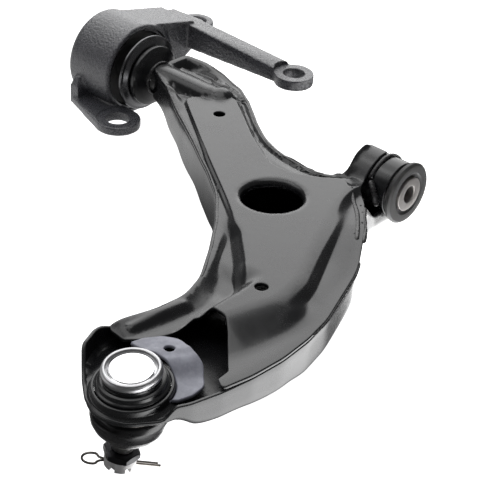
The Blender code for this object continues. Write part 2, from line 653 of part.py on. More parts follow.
def make_ball_housing(ball):
    housing = [
        (12.6 * MM, -12 * MM), (19.5 * MM, -12 * MM), (19.5 * MM, -7.8 * MM), (22.6 * MM, -7.8 * MM),
        (23.4 * MM, -7 * MM), (HOUSING_R, -5.5 * MM), (HOUSING_R, 9 * MM), (22 * MM, 10.6 * MM),
        (22 * MM, 11.8 * MM), (18.6 * MM, 12.4 * MM), (18.6 * MM, 14.7 * MM), (16.2 * MM, 14.7 * MM),
        (16.2 * MM, -2.5 * MM), (12.6 * MM, -7.5 * MM),
    ]
    solid("ball_joint_housing", lathe(housing, 40), "black_coat", ball)
    cap = [
        (0, 15 * MM), (17.6 * MM, 15 * MM), (CAP_R, 16 * MM), (CAP_R, 18.8 * MM), (18.6 * MM, 20.4 * MM),
        (17.2 * MM, 20.8 * MM), (16 * MM, 20.5 * MM), (15 * MM, 19.6 * MM), (0, 19.6 * MM),
    ]
    solid("closing_cap", lathe(cap, 48), "bright_steel", ball)
    clear = BALL_R + GAP
    seat = [(15.9 * MM, 9 * MM), *arc(0, 0, clear, 40, -18, 9), (15.9 * MM, -2.6 * MM)]
    solid("ball_seat", lathe(seat), "seat_polymer", ball)
    plate = [
        (0, clear), *arc(0, 0, clear, 84, 44, 6), (15.9 * MM, 9.6 * MM), (15.9 * MM, 14.6 * MM),
        (0, 14.6 * MM),
    ]
    solid("preload_plate", lathe(plate), "zinc_grey", ball)
    ring = [(21.1 * MM, -10.6 * MM), (22.3 * MM, -10.6 * MM), (22.3 * MM, -8.6 * MM), (21.1 * MM, -8.6 * MM)]
    solid("boot_upper_ring", lathe(ring, 40), "wire_steel", ball)


def make_dust_boot(boot, turn):
    """A turned bellows whose rings swing from the housing's axis, at its top, to the stud's axis
    at its foot.
    """
    outer = [
        (20.8, -8.5), (20.8, -10.8), (23.6, -12.2), (25.2, -15.5), (25.2, -19.5), (23.6, -24), (19.6, -28.4),
        (15.6, -31.3), (13.2, -33),
    ]
    inner = [
        (11.2, -33), (11.2, -30.6), (14.2, -29), (17.6, -26.4), (21.6, -22.8), (23.1, -19), (23.1, -15.8),
        (21.6, -13.6), (19.8, -12.4), (19.8, -8.5),
    ]
    profile = [(r * MM, z * MM) for r, z in outer + inner]
    bm = lathe(profile, 40)
    still = turn.to_quaternion()
    level = Matrix.Identity(3).to_quaternion()
    for vertex in bm.verts:
        share = float(smooth((-11.5 * MM - vertex.co.z) / (7 * MM)))
        vertex.co.rotate(level.slerp(still, share))
    solid("dust_boot", bm, "boot_rubber", boot)


def make_ball_stud(stud):
    ball_top = math.degrees(math.asin(12.0 / 13.5))
    neck_r = 6.5 * MM
    ball_foot = -math.degrees(math.acos(neck_r / BALL_R))
    profile = [
        (0, BALL_R * math.sin(math.radians(ball_top))), *arc(0, 0, BALL_R, ball_top, ball_foot, 14),
        (neck_r, -20 * MM), (8.6 * MM, -26 * MM), (8.6 * MM, -35 * MM), (7.2 * MM, -46.5 * MM),
        (6.9 * MM, -47.1 * MM), (6.9 * MM, -61.9 * MM), (6.1 * MM, -62.7 * MM), (0, -62.7 * MM),
    ]
    made = solid("ball_stud", lathe(profile), "zinc_grey", stud)
    across = pin_turn() @ along_x(-20 * MM)
    across = Matrix.Translation((0, 0, PIN_HEIGHT)) @ across
    combine(made, rod(2.1 * MM, 0, 40 * MM, across, 16), "DIFFERENCE", "pin_hole")


def pin_turn():
    """Turns X onto the pin's direction, about the stud's axis."""
    return Matrix.Rotation(math.atan2(PIN_ALONG.y, PIN_ALONG.x), 4, "Z")


def make_castle_nut(stud):
    nut = solid("castle_nut", hexagon(22 * MM, CROWN_TOP - 0.4 * MM, NUT_TOP), "zinc_grey", stud)
    combine(nut, rod(7.1 * MM, NUT_FOOT - 5 * MM, NUT_TOP + 5 * MM, segments=30), "DIFFERENCE", "bore")
    combine(nut, tube(8.8 * MM, 7.4 * MM, NUT_FOOT, CROWN_TOP + 2 * MM, segments=36), "UNION", "crown")
    for i in range(6):
        slot = hull(box_points((6.2, 10.5), (-1.9, 1.9), (-10, 0)))
        turn = pin_turn() @ Matrix.Rotation(math.radians(60 * i), 4, "Z")
        slot.transform(turn @ Matrix.Translation((0, 0, CROWN_TOP - 0.6 * MM)))
        combine(nut, slot, "DIFFERENCE", f"slot_{i}")


def make_cotter_pin(stud):
    """One wire bent double: two straight legs through the nut, joined by an eye on the near side."""
    wire, apart, tip, neck, eye = 0.8 * MM, 1.0 * MM, 27 * MM, -11.5 * MM, 4.6 * MM
    points = [(tip, 0, -apart), (9 * MM, 0, -apart), (neck, 0, -apart)]
    for step in range(9):
        angle = math.radians(-55 - step * (250 / 8))
        points.append((neck - 1.45 * eye + 1.35 * eye * math.cos(angle), 0, eye * math.sin(angle)))
    points += [(neck, 0, apart), (9 * MM, 0, apart), (tip - 2 * MM, 0, apart)]
    curve = bpy.data.curves.new("cotter_pin", "CURVE")
    curve.dimensions = "3D"
    curve.bevel_depth = wire
    curve.bevel_resolution = 1
    curve.use_fill_caps = True
    spline = curve.splines.new("POLY")
    spline.points.add(len(points) - 1)
    for target, point in zip(spline.points, points):
        target.co = (*point, 1)
    curve.materials.append(material("wire_steel"))
    pin = bpy.data.objects.new("cotter_pin", curve)
    bpy.context.scene.collection.objects.link(pin)
    pin.parent = stud
    pin.matrix_local = Matrix.Translation((0, 0, PIN_HEIGHT)) @ pin_turn()


def make_boot_foot(foot):
    ring = [(8.9 * MM, -33.6 * MM), (10.9 * MM, -33.6 * MM), (10.9 * MM, -30.2 * MM), (8.9 * MM, -30.2 * MM)]
    solid("boot_lower_ring", lathe(ring), "wire_steel", foot)


def main():
    for old in list(bpy.data.objects):
        bpy.data.objects.remove(old, do_unlink=True)
    root = empty("control_arm", place=Matrix.Translation(ARM_ORIGIN))
    arm = empty("arm", root)
    front_sleeve = empty("front_sleeve_axis", root)
    bracket = empty("bracket_axis", root)
    ball = empty("ball_axis", root, Matrix.Translation(BALL) @ Matrix.Rotation(BALL_AXIS_LEAN, 4, "X"))
    stud_turn = Vector((0, 0, 1)).rotation_difference(STUD_UP.normalized()).to_matrix().to_4x4()
    stud = empty("stud_axis", root, Matrix.Translation(BALL) @ stud_turn)
    make_upper_plate(arm)
    make_lower_shell(arm)
    make_joint_gusset(arm)
    make_front_bush(arm, front_sleeve)
    make_stem(arm)
    make_rear_bush(arm, bracket)
    make_rear_bracket(bracket)
    make_ball_housing(ball)
    make_dust_boot(ball, Matrix.Rotation(-BALL_AXIS_LEAN, 4, "X") @ stud_turn)
    make_boot_foot(stud)
    make_ball_stud(stud)
    make_castle_nut(stud)
    make_cotter_pin(stud)


main()
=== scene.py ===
"""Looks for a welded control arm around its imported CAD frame.

Lengths are millimetres from the hinge axis until a mesh is made. The hinge axis runs along X through both
bushes. The ball stud points down.
"""

import math

import bmesh
import bpy
import numpy as np
from mathutils import Matrix, Vector, noise
from mathutils.geometry import delaunay_2d_cdt


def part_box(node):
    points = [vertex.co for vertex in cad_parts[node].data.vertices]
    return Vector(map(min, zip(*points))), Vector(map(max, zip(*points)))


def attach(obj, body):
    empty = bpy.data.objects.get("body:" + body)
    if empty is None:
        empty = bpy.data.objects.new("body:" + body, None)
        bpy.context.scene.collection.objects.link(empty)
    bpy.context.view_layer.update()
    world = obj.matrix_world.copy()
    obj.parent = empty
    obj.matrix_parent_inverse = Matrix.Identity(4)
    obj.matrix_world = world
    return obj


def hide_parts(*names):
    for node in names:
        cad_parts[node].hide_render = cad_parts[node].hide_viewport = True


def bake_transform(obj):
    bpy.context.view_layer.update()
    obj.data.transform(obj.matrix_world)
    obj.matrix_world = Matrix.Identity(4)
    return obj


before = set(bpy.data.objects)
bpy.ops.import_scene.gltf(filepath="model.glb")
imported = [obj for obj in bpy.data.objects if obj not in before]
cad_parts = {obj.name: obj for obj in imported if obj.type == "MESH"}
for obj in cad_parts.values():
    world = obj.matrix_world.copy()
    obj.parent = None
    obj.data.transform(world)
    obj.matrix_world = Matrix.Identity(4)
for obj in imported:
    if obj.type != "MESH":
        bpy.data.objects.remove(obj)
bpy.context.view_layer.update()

# The hinge axis comes from the front sleeve: its middle in Y and Z, and its front face in X
FRONT_FACE_X = 33.0
SLEEVE_LOW, SLEEVE_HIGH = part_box("front_inner_sleeve")
HINGE = Vector((
    SLEEVE_HIGH.x - FRONT_FACE_X / 1000,
    (SLEEVE_LOW.y + SLEEVE_HIGH.y) / 2,
    (SLEEVE_LOW.z + SLEEVE_HIGH.z) / 2,
))
TO_WORLD = Matrix.Translation(HINGE) @ Matrix.Scale(0.001, 4)
ALONG_X = Matrix.Rotation(math.radians(90), 4, "Y")

# Mesh fineness: segments of a turned piece, rings of points beside a sheet's edge, the distance of a plan
# grid's rows as a share of its step, rows beside a pressed line, corners that become arcs, and welds
SEGMENTS = 112
EDGE_RINGS = (0.25, 0.6, 1.1, 2.2)
GRID_ROW = 0.87
ROW_TOLERANCE, ROW_GAP, ROW_MARGIN = 0.25, 1.2, 0.8
NEARLY_STRAIGHT, ARC_STEP = math.radians(89.5), math.radians(14)
SPLINE_STEP = 0.7
BEAD_SIDES, BEAD_FLATNESS = 14, 0.62

# Sheet metal: its thickness, and the radius of its edges
SHEET = 2.8
EDGE_ROUND = 0.9

# Stampings: the panel's height and climb, the flange's drop on both sides, and holes as x, y and radius
PANEL_HEIGHT, PANEL_SLOPE = 15.0, 0.032
INNER_RIM_DROP, OUTER_RIM_DROP = 5.0, 9.6
RIM_WIDTH = 4.5
MAIN_HOLE = (-26.0, -97.0, 23.4)
MAIN_LIP = 5.0
SMALL_HOLES = ((50.0, -198.0, 4.6), (-146.0, -24.0, 4.6))
DRAIN_R = 15.0
FOOT_ROUND = 6.0
GROOVE_DEPTH, GROOVE_IN = 2.8, 6.2

# Stem, bushes and bracket: stations along X, and radii
STEM_R, STEM_TIP_X, STEM_DOME = 12.0, -180.0, 13.8
TUBE_R, TUBE_BORE_R = 22.5, 20.0
TUBE_X = (-10.0, 24.0)
FRONT_SLEEVE_R, FRONT_BOLT_R = 14.0, 6.7
BRACKET_X = (-312.0, -262.0)
BRACKET_R, BRACKET_BORE_R = 41.0, 37.5
WASHER_X = (-252.0, -249.0)
REAR_SLEEVE_R, REAR_SLEEVE_BORE_R = 14.2, 10.3

# Ball joint
BALL = Vector((52.0, -322.8, -4.3))
BALL_R, CAP_R, BALL_HOLE_R = 13.5, 20.0, 25.4
BALL_LEAN = math.radians(5.0)
STUD_UP = Vector((0.099, 0.082, 0.992)).normalized()
HOUSING_PLACE = Matrix.Translation(BALL) @ Matrix.Rotation(BALL_LEAN, 4, "X")
STUD_TURN = Vector((0, 0, 1)).rotation_difference(STUD_UP)
STUD_PLACE = Matrix.Translation(BALL) @ STUD_TURN.to_matrix().to_4x4()
BOOT_SPLIT = -17.5
THREAD_TOP, THREAD_PITCH, THREAD_TURNS = -47.2, 1.35, 11
PIN_ANGLE, PIN_HEIGHT = math.atan2(0.71, 0.70), -58.7

# Plan outlines: x, y and the corner's radius
INNER_EDGE = [
    (-240, -7, 5), (-209, -22, 60), (-157, -55, 200), (-93, -97, 200), (-64, -119, 90), (-38, -148, 90),
    (-14, -181, 80), (6, -212, 60), (14, -236, 40), (11, -262, 60), (3, -287, 40),
]
OUTER_EDGE = [
    (104, -268, 60), (106, -240, 80), (104, -212, 80), (99, -186, 80), (90, -161, 100), (76, -122, 150),
    (61, -98, 60), (49, -79, 40), (38, -66, 40), (27, -51, 30),
]
FAR_EDGE = [
    (-12, -22, 8), (-20, -33, 14), (-36, -38, 25), (-62, -35, 60), (-90, -26, 100), (-118, -7, 150),
    (-147, 16, 60), (-170, 31, 30), (-196, 38, 40), (-218, 40, 30), (-239, 34, 8),
]
PLATE_CUTOUT = [
    (4, -299, 4), (17, -297, 5), (30, -285, 12), (37, -266, 14), (34, -246, 5), (42, -239, 8),
    (55, -240, 10), (65, -249, 10), (89, -275, 3), (90, -286, 2), (99, -292, 3),
]
PLATE_EAR = [(12, -37, 20), (6, -24, 6), (6, 4, 2), (-11, 4, 2)]
SHELL_BALL_END = [
    (-1, -306, 14), (6, -324, 14), (20, -337, 8), (34, -348, 20), (52, -354, 24), (70, -348, 20),
    (84, -333, 14), (94, -314, 20), (100, -292, 40),
]
SHELL_CRADLE = [(24, -30, 10), (22, 12, 9), (-10, 12, 9)]
RAISED_PANEL = [
    (-189, -20, 8), (-125, -68, 150), (-90, -93, 100), (-30, -136, 60), (-8, -153, 60), (20, -180, 40),
    (36, -200, 40), (42, -218, 25), (42, -240, 6), (50, -243, 8), (55, -226, 60), (63, -200, 24),
    (59, -176, 60), (40, -136, 200), (13, -74, 200), (5, -44, 14), (-4, -38, 10), (-17, -49, 20),
    (-39, -60, 30), (-60, -60, 30), (-76, -51, 30), (-105, -32, 100), (-135, -9, 100), (-158, 8, 8),
]
# Underside of the lower shell: x, y, height
SHELL_FLOOR = [
    (-228, -8, -20), (-228, 30, -17), (-190, -30, -29), (-150, -58, -34), (-93, -97, -37), (-50, -135, -33),
    (-10, -185, -26), (12, -240, -15), (4, -290, -9), (84, -333, -11), (100, -290, -18), (104, -240, -21),
    (104, -210, -23), (90, -160, -23), (70, -112, -21), (47, -77, -22), (25, -40, -26), (10, 0, -27.5),
    (-12, -20, -27.5), (-60, -35, -28), (-110, -15, -26), (-160, 22, -22), (0, -100, -29), (45, -170, -23),
    (-60, -60, -29), (-150, -15, -26), (60, -235, -17),
]
# A hump of that underside: x, y, radius, fade and height
SHELL_HUMP = (20, -163, 34, 16, 8)
GUSSET_EDGE = [
    (77, -317, 2), (82, -313, 4), (85, -303, 8), (84, -291, 9), (72, -279, 8), (56, -275, 12), (45, -273, 12),
    (35, -279, 8), (28, -289, 8), (25, -299, 2),
]
GUSSET_HOLE = (48.0, -286.0, 3.6)
GUSSET_INNER_R = 27.4
# Distances from the panel's outline at which rows of points follow it
PRESSED_ROWS = (
    -1.6, -0.6, 0.0, 0.6, 1.3, 2.1, 3.1, 4.1, 5.1, 6.1, 7.1, 8.1, 9.1, 10.1, 11.1, 12.1, 13.1, 14.1,
    15.2, 16.4, 17.8,
)
# The share of a rib's length over which each of its ends fades
RIDGE_FADE = 0.12
# Pressed ribs of the plate: line, half width, height. The folds lie over the stem's dome and beside the tube.
PANEL_RIBS = (
    (((13, -292), (16, -272), (22, -236)), 6.5, 2.6),
    (((-232, 29), (-200, 30), (-160, 19)), 2.6, 1.5),
    (((-226, -19), (-204, -19), (-186, -14)), 3.5, 1.2),
)
NECK_FOLDS = (
    (((-226, 12), (-208, 13), (-184, 12)), 3.8, 2.8),
    (((-228, 22), (-206, 24), (-176, 22)), 3.2, 2.0),
)
TUBE_FOLD = (((-70, -34), (-36, -36), (-18, -28), (-11, -12), (-11, 3)), 3.4, 2.6)
# The dome over the stem's end: x, y, radius, height of its foot, and flatness
TIP_DOME = (-170, 4, 13.0, 2.6, 0.88)
# Ears: x, y, top height, thickness, radius, hole radius
NEAR_EAR = (-243, -46, -24.5, 8, 20, 10.4)
LONG_EAR = (-154, 83, 9, 10, 17.5, 9.4)
BACK_EAR = (-297, 111, 2, 9, 16, 8.8)
# Faces milled into two ears: ear, radius and depth
SPOT_FACES = ((NEAR_EAR, 18.6, 0.7), (LONG_EAR, 17.9, 0.5))


# ---------------------------------------------------------------- shapes


def smooth(value):
    """A smooth step, which rises from 0 to 1 as value does."""
    t = np.clip(value, 0, 1)
    return t * t * (3 - 2 * t)


def smooth_max(a, b, soft):
    """The higher of two surfaces, with a soft fillet where they cross."""
    h = np.clip(0.5 + 0.5 * (a - b) / soft, 0, 1)
    return b + (a - b) * h + soft * h * (1 - h)


def rounded(corners, step=2.2, closed=True):
    """Points along a line of (x, y, radius) corners, each corner turned into an arc."""
    points = []
    count = len(corners)
    for i, corner in enumerate(corners):
        here, radius = Vector(corner[:2]), corner[2]
        if radius <= 0 or (not closed and i in (0, count - 1)):
            points.append(here)
            continue
        back = Vector(corners[i - 1][:2]) - here
        on = Vector(corners[(i + 1) % count][:2]) - here
        half = back.angle(on) / 2
        if half > NEARLY_STRAIGHT:
            points.append(here)
            continue
        reach = min(radius / math.tan(half), 0.48 * back.length, 0.48 * on.length)
        radius = reach * math.tan(half)
        centre = here + (back.normalized() + on.normalized()).normalized() * (radius / math.sin(half))
        start = here + back.normalized() * reach - centre
        end = here + on.normalized() * reach - centre
        sweep = start.angle_signed(end)
        parts = max(2, math.ceil(max(abs(sweep) * radius / step, abs(sweep) / ARC_STEP)))
        for k in range(parts + 1):
            turned = start.copy()
            turned.rotate(Matrix.Rotation(-sweep * k / parts, 2))
            points.append(centre + turned)
    return np.array([(p.x, p.y) for p in points])


def evened(loop, most, least=0.5):
    """Drops points of an outline that lie too close together, then splits its long edges."""
    kept = [loop[0]]
    for point in loop[1:]:
        if np.linalg.norm(point - kept[-1]) >= least:
            kept.append(point)
    if np.linalg.norm(kept[0] - kept[-1]) < least:
        kept.pop()
    split = []
    for point, following in zip(kept, kept[1:] + kept[:1]):
        parts = math.ceil(np.linalg.norm(following - point) / most)
        split += [point + (following - point) * k / parts for k in range(parts)]
    return np.array(split)


def around(count):
    """The cosine and sine of count even steps round a circle."""
    turn = [2 * math.pi * i / count for i in range(count)]
    return [(math.cos(a), math.sin(a)) for a in turn]


def circle(x, y, radius, count):
    """A round plan outline."""
    return np.array([(x + radius * c, y + radius * s) for c, s in around(count)])


def inside_distance(x, y, loop):
    """Distance of each point to a closed outline, positive inside it."""
    x, y = np.asarray(x, float), np.asarray(y, float)
    nearest = np.full(x.shape, np.inf)
    inside = np.zeros(x.shape, bool)
    for (ax, ay), (bx, by) in zip(loop, np.roll(loop, -1, 0)):
        dx, dy = bx - ax, by - ay
        t = np.clip(((x - ax) * dx + (y - ay) * dy) / (dx * dx + dy * dy), 0, 1)
        nearest = np.minimum(nearest, np.hypot(x - ax - t * dx, y - ay - t * dy))
        if ay != by:
            inside ^= ((ay > y) != (by > y)) & (x < (y - ay) * dx / dy + ax)
    return np.where(inside, nearest, -nearest)


def line_distance(x, y, points):
    """Distance to an open line of plan points, and how far along it the nearest point lies, from 0 to 1."""
    nearest = np.full(np.shape(x), np.inf)
    share = np.zeros(np.shape(x))
    last = len(points) - 1
    for i in range(last):
        (ax, ay), (bx, by) = points[i], points[i + 1]
        dx, dy = bx - ax, by - ay
        t = np.clip(((x - ax) * dx + (y - ay) * dy) / (dx * dx + dy * dy), 0, 1)
        away = np.hypot(x - ax - t * dx, y - ay - t * dy)
        share = np.where(away < nearest, (i + t) / last, share)
        nearest = np.minimum(nearest, away)
    return nearest, share


def inset(loop, distance):
    """A closed anticlockwise outline moved inwards by distance, a number or one for each point."""
    along = np.roll(loop, -1, 0) - np.roll(loop, 1, 0)
    along /= np.hypot(along[:, 0], along[:, 1])[:, None]
    return loop + np.stack([-along[:, 1], along[:, 0]], 1) * np.reshape(distance, (-1, 1))


def clearance(points, outline, holes):
    """How far each plan point lies inside outline and outside every hole."""
    nearest = inside_distance(*points.T, outline)
    for hole in holes:
        nearest = np.minimum(nearest, -inside_distance(*points.T, hole))
    return nearest


def feature_points(outline, holes, loop, offsets, margin):
    """Rows of points beside a pressed line, so that the mesh's edges run along it."""
    rows = []
    for offset in offsets:
        moved = inset(loop, -offset)
        away = -inside_distance(*moved.T, loop)
        keep = (np.abs(away - offset) < ROW_TOLERANCE) & (clearance(moved, outline, holes) > margin)
        rows.append(moved[keep])
    return np.concatenate(rows)


def triangulated(outline, holes, step, areas=(), rings=EDGE_RINGS, feature=None):
    """Plan points and triangles inside outline and outside holes, with rings of points beside every edge.

    Each of areas is (x0, x1, y0, y1, finer step). feature is a pressed line and the offsets of its rows.
    """
    low, high = outline.min(0), outline.max(0)
    xs, ys = np.meshgrid(np.arange(low[0], high[0], step), np.arange(low[1], high[1], step * GRID_ROW))
    xs[1::2] += step / 2
    inner = np.stack([xs.ravel(), ys.ravel()], 1)
    keep = clearance(inner, outline, holes) > rings[-1] + 0.5 * step
    for x0, x1, y0, y1, _ in areas:
        keep &= ~((inner[:, 0] > x0) & (inner[:, 0] < x1) & (inner[:, 1] > y0) & (inner[:, 1] < y1))
    extra = []
    if feature is not None:
        loop, offsets = feature
        away = -inside_distance(*inner.T, loop)
        keep &= (away < min(offsets) - ROW_GAP) | (away > max(offsets) + ROW_GAP)
        extra.append(feature_points(outline, holes, *feature, rings[-1] + ROW_MARGIN))
    extra.insert(0, inner[keep])
    for x0, x1, y0, y1, fine in areas:
        xs, ys = np.meshgrid(np.arange(x0, x1 + fine / 2, fine), np.arange(y0, y1 + fine / 2, fine))
        spots = np.stack([xs.ravel(), ys.ravel()], 1)
        extra.append(spots[clearance(spots, outline, holes) > rings[-1] + 0.5 * fine])
    for ring in rings:
        moved = inset(outline, ring)
        extra.append(moved[inside_distance(*moved.T, outline) > 0.9 * ring])
        extra += [inset(hole, -ring) for hole in holes]
    points, edges = [], []
    for loop in (outline, *holes):
        first, count = len(points), len(loop)
        points += [Vector(p) for p in loop]
        edges += [(first + i, first + (i + 1) % count) for i in range(count)]
    points += [Vector(p) for p in np.concatenate(extra)]
    plan, _, faces, _, _, _ = delaunay_2d_cdt(points, edges, [], 0, 1e-5)
    plan, faces = np.array([tuple(p) for p in plan]), np.array(faces)
    return plan, faces[clearance(plan[faces].mean(1), outline, holes) > 0]


def border(faces):
    """The directed edges that only one triangle uses."""
    edges = {(a, b) for f in faces.tolist() for a, b in ((f[0], f[1]), (f[1], f[2]), (f[2], f[0]))}
    return sorted(edge for edge in edges if edge[::-1] not in edges)


def edge_fall(distance):
    """How far a surface falls near a rounded edge that is distance away."""
    t = np.clip(EDGE_ROUND - distance, 0, EDGE_ROUND)
    return EDGE_ROUND - np.sqrt(np.maximum(EDGE_ROUND**2 - t**2, 0))


def skins(bm, plan, faces, lower, upper):
    """Two skins over one plan, at the heights lower and upper. It gives the vertices of both."""
    bottom = [bm.verts.new((x, y, z)) for (x, y), z in zip(plan, lower)]
    top = [bm.verts.new((x, y, z)) for (x, y), z in zip(plan, upper)]
    for face in faces.tolist():
        bm.faces.new([top[i] for i in face])
        bm.faces.new([bottom[i] for i in reversed(face)])
    return bottom, top


def sheet(outline, holes, height, step, areas=(), feature=None):
    """A pressed sheet with rounded edges. Its top skin stands at height(x, y)."""
    plan, faces = triangulated(outline, holes, step, areas, feature=feature)
    middle = height(*plan.T)
    fall = edge_fall(np.maximum(clearance(plan, outline, holes), 0))
    bm = bmesh.new()
    bottom, top = skins(bm, plan, faces, middle - SHEET + fall, middle - fall)
    for a, b in border(faces):
        bm.faces.new((top[b], top[a], bottom[a], bottom[b]))
    return without_loose(bm)


def outward(bm):
    """The same bmesh, with its faces turned outwards."""
    bmesh.ops.recalc_face_normals(bm, faces=bm.faces)
    return bm


def without_loose(bm):
    """The same bmesh, without the plan's points that no face uses."""
    bmesh.ops.delete(bm, geom=[v for v in bm.verts if not v.link_faces], context="VERTS")
    return bm


def joined(bm, rings):
    """Quads between each ring of vertices and the next."""
    for low, high in zip(rings, rings[1:]):
        for i in range(len(low)):
            j = (i + 1) % len(low)
            bm.faces.new((low[i], low[j], high[j], high[i]))


def lathe(profile, place=None, fillet=0.5, segments=SEGMENTS):
    """A turned solid from (radius, height) or (radius, height, fillet) points."""
    closed = profile[0][0] > 0
    corners = [point if len(point) == 3 else (*point, fillet) for point in profile]
    turn = around(segments)
    bm = bmesh.new()
    rings = []
    for radius, height in rounded(corners, 0.5, closed):
        spots = turn if radius > 1e-6 else turn[:1]
        rings.append([bm.verts.new((radius * c, radius * s, height)) for c, s in spots])
    if closed:
        rings.append(rings[0])
    for low, high in zip(rings, rings[1:]):
        for i in range(segments):
            j = (i + 1) % segments
            quad = (low[i % len(low)], low[j % len(low)], high[j % len(high)], high[i % len(high)])
            unique = list(dict.fromkeys(quad))
            if len(unique) > 2:
                bm.faces.new(unique)
    if place is not None:
        bm.transform(place)
    return outward(bm)


def tube(outer, inner, low, high, place=ALONG_X, fillet=0.5):
    """A plain ring or tube between two heights."""
    return lathe([(outer, low), (outer, high), (inner, high), (inner, low)], place, fillet)


def hull(points):
    """The convex solid round some points."""
    bm = bmesh.new()
    for point in points:
        bm.verts.new(point)
    made = bmesh.ops.convex_hull(bm, input=bm.verts)
    spare = {v for v in made["geom_interior"] + made["geom_unused"] if isinstance(v, bmesh.types.BMVert)}
    bmesh.ops.delete(bm, geom=list(spare), context="VERTS")
    return outward(bm)


def disc(x, y, z, radius, count=64):
    """Points of a level circle."""
    return [(x + radius * c, y + radius * s, z) for c, s in around(count)]


def box_points(xs, ys, zs):
    """The corners of a box."""
    return [(x, y, z) for x in xs for y in ys for z in zs]


def sweep(path, section):
    """A tube along path. section(i, share) gives one station's cross-section as (across, up) points."""
    path = np.asarray(path, float)
    bm = bmesh.new()
    rings = []
    for i in range(len(path)):
        along = Vector(path[min(i + 1, len(path) - 1)] - path[max(i - 1, 0)]).normalized()
        across = along.cross(Vector((0, 0, 1)))
        if across.length < 0.05:
            across = along.cross(Vector((0, 1, 0)))
        across.normalize()
        up = across.cross(along)
        spots = section(i, i / (len(path) - 1))
        rings.append([bm.verts.new(Vector(path[i]) + across * a + up * b) for a, b in spots])
    joined(bm, rings)
    count = len(rings[0])
    for ring in (rings[0][::-1], rings[-1]):
        middle = bm.verts.new(sum((v.co for v in ring), Vector()) / count)
        for i in range(count):
            bm.faces.new((ring[i], ring[(i + 1) % count], middle))
    return outward(bm)


def spline(points, spacing=SPLINE_STEP):
    """A smooth open line through some points."""
    points = np.asarray(points, float)
    padded = np.concatenate([[2 * points[0] - points[1]], points, [2 * points[-1] - points[-2]]])
    line = []
    for i in range(1, len(padded) - 2):
        a, b, c, d = padded[i - 1:i + 3]
        parts = max(2, math.ceil(np.linalg.norm(c - b) / spacing))
        for k in range(parts):
            t = k / parts
            line.append(0.5 * (2 * b + (c - a) * t + (2 * a - 5 * b + 4 * c - d) * t * t
                               + (3 * b - a - 3 * c + d) * t**3))
    line.append(points[-1])
    return np.array(line)


def bead(points, radius, seed, ripple=2.4):
    """A weld bead: a low ridge along a line, with overlapping ripples and an uneven width."""
    path = spline(points)
    turn = [2 * math.pi * k / BEAD_SIDES for k in range(BEAD_SIDES)]

    def section(i, share):
        spot = path[i]
        wander = noise.noise(Vector((i * 0.045, seed, 0.0)))
        end = min(1.0, 3.2 * math.sqrt(max(min(share, 1 - share), 0.0005) * len(path) / 30))
        spots = []
        for angle in turn:
            lag = 0.9 * abs(math.cos(angle))
            shake = 0.35 * noise.noise(Vector((i * 0.08, seed + 7, 0.3)))
            phase = (i * SPLINE_STEP / ripple + lag + shake) % 1.0
            rough = 1 + 0.08 * noise.noise(Vector(spot) * 0.9 + Vector((seed, angle, 0)))
            across = radius * end * (1 + 0.22 * wander - 0.17 * phase) * rough
            spots.append((across * math.cos(angle), BEAD_FLATNESS * across * math.sin(angle)))
        return spots

    return sweep(path, section)


def spatter(spots, seed):
    """Small weld drops, each a flattened ball, at (x, y, z, radius)."""
    bm = bmesh.new()
    for number, (x, y, z, radius) in enumerate(spots):
        turn = noise.noise(Vector((number * 1.7, seed, 0)))
        squash = Matrix.Diagonal((1 + 0.25 * turn, 1 - 0.2 * turn, BEAD_FLATNESS, 1))
        place = Matrix.Translation((x, y, z)) @ Matrix.Rotation(turn * 3, 4, "Z") @ squash
        bmesh.ops.create_icosphere(bm, subdivisions=2, radius=radius, matrix=place)
    return bm


def mesh_of(name, bm):
    """A mesh from a bmesh, which is freed."""
    mesh = bpy.data.meshes.new(name)
    bm.to_mesh(mesh)
    bm.free()
    return mesh


def merged(*parts):
    """One bmesh from several."""
    whole = bmesh.new()
    for part in parts:
        spare = mesh_of("spare", part)
        whole.from_mesh(spare)
        bpy.data.meshes.remove(spare)
    return whole


def piece(name, bm, finish, body, replaces=(), angle=40, recalc=True):
    """A finished piece in the world frame."""
    if recalc:
        outward(bm)
    bm.transform(TO_WORLD)
    mesh = mesh_of(name, bm)
    mesh.shade_smooth()
    mesh.set_sharp_from_angle(angle=math.radians(angle))
    made = linked(name, mesh)
    mesh.materials.append(FINISH[finish])
    if body is not None:
        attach(made, body)
    if replaces:
        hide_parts(*replaces)
    return made


def linked(name, data):
    """A new object of the scene."""
    made = bpy.data.objects.new(name, data)
    bpy.context.scene.collection.objects.link(made)
    return made


def carved(bm, steps):
    """bm after some steps, as a new bmesh. A step is (operation, bmesh) or ("MODIFIER", function)."""
    target = linked("target", mesh_of("target", bm))
    others = []
    for kind, value in steps:
        if kind == "MODIFIER":
            value(target)
            continue
        other = linked("cutter", mesh_of("cutter", value))
        others.append(other)
        modifier = target.modifiers.new(kind, "BOOLEAN")
        modifier.operation = kind
        modifier.solver = "EXACT"
        modifier.object = other
    graph = bpy.context.evaluated_depsgraph_get()
    result = bmesh.new()
    evaluated = bpy.data.meshes.new_from_object(target.evaluated_get(graph))
    result.from_mesh(evaluated)
    for old in (target, *others):
        mesh = old.data
        bpy.data.objects.remove(old)
        bpy.data.meshes.remove(mesh)
    bpy.data.meshes.remove(evaluated)
    return result


# ---------------------------------------------------------------- materials


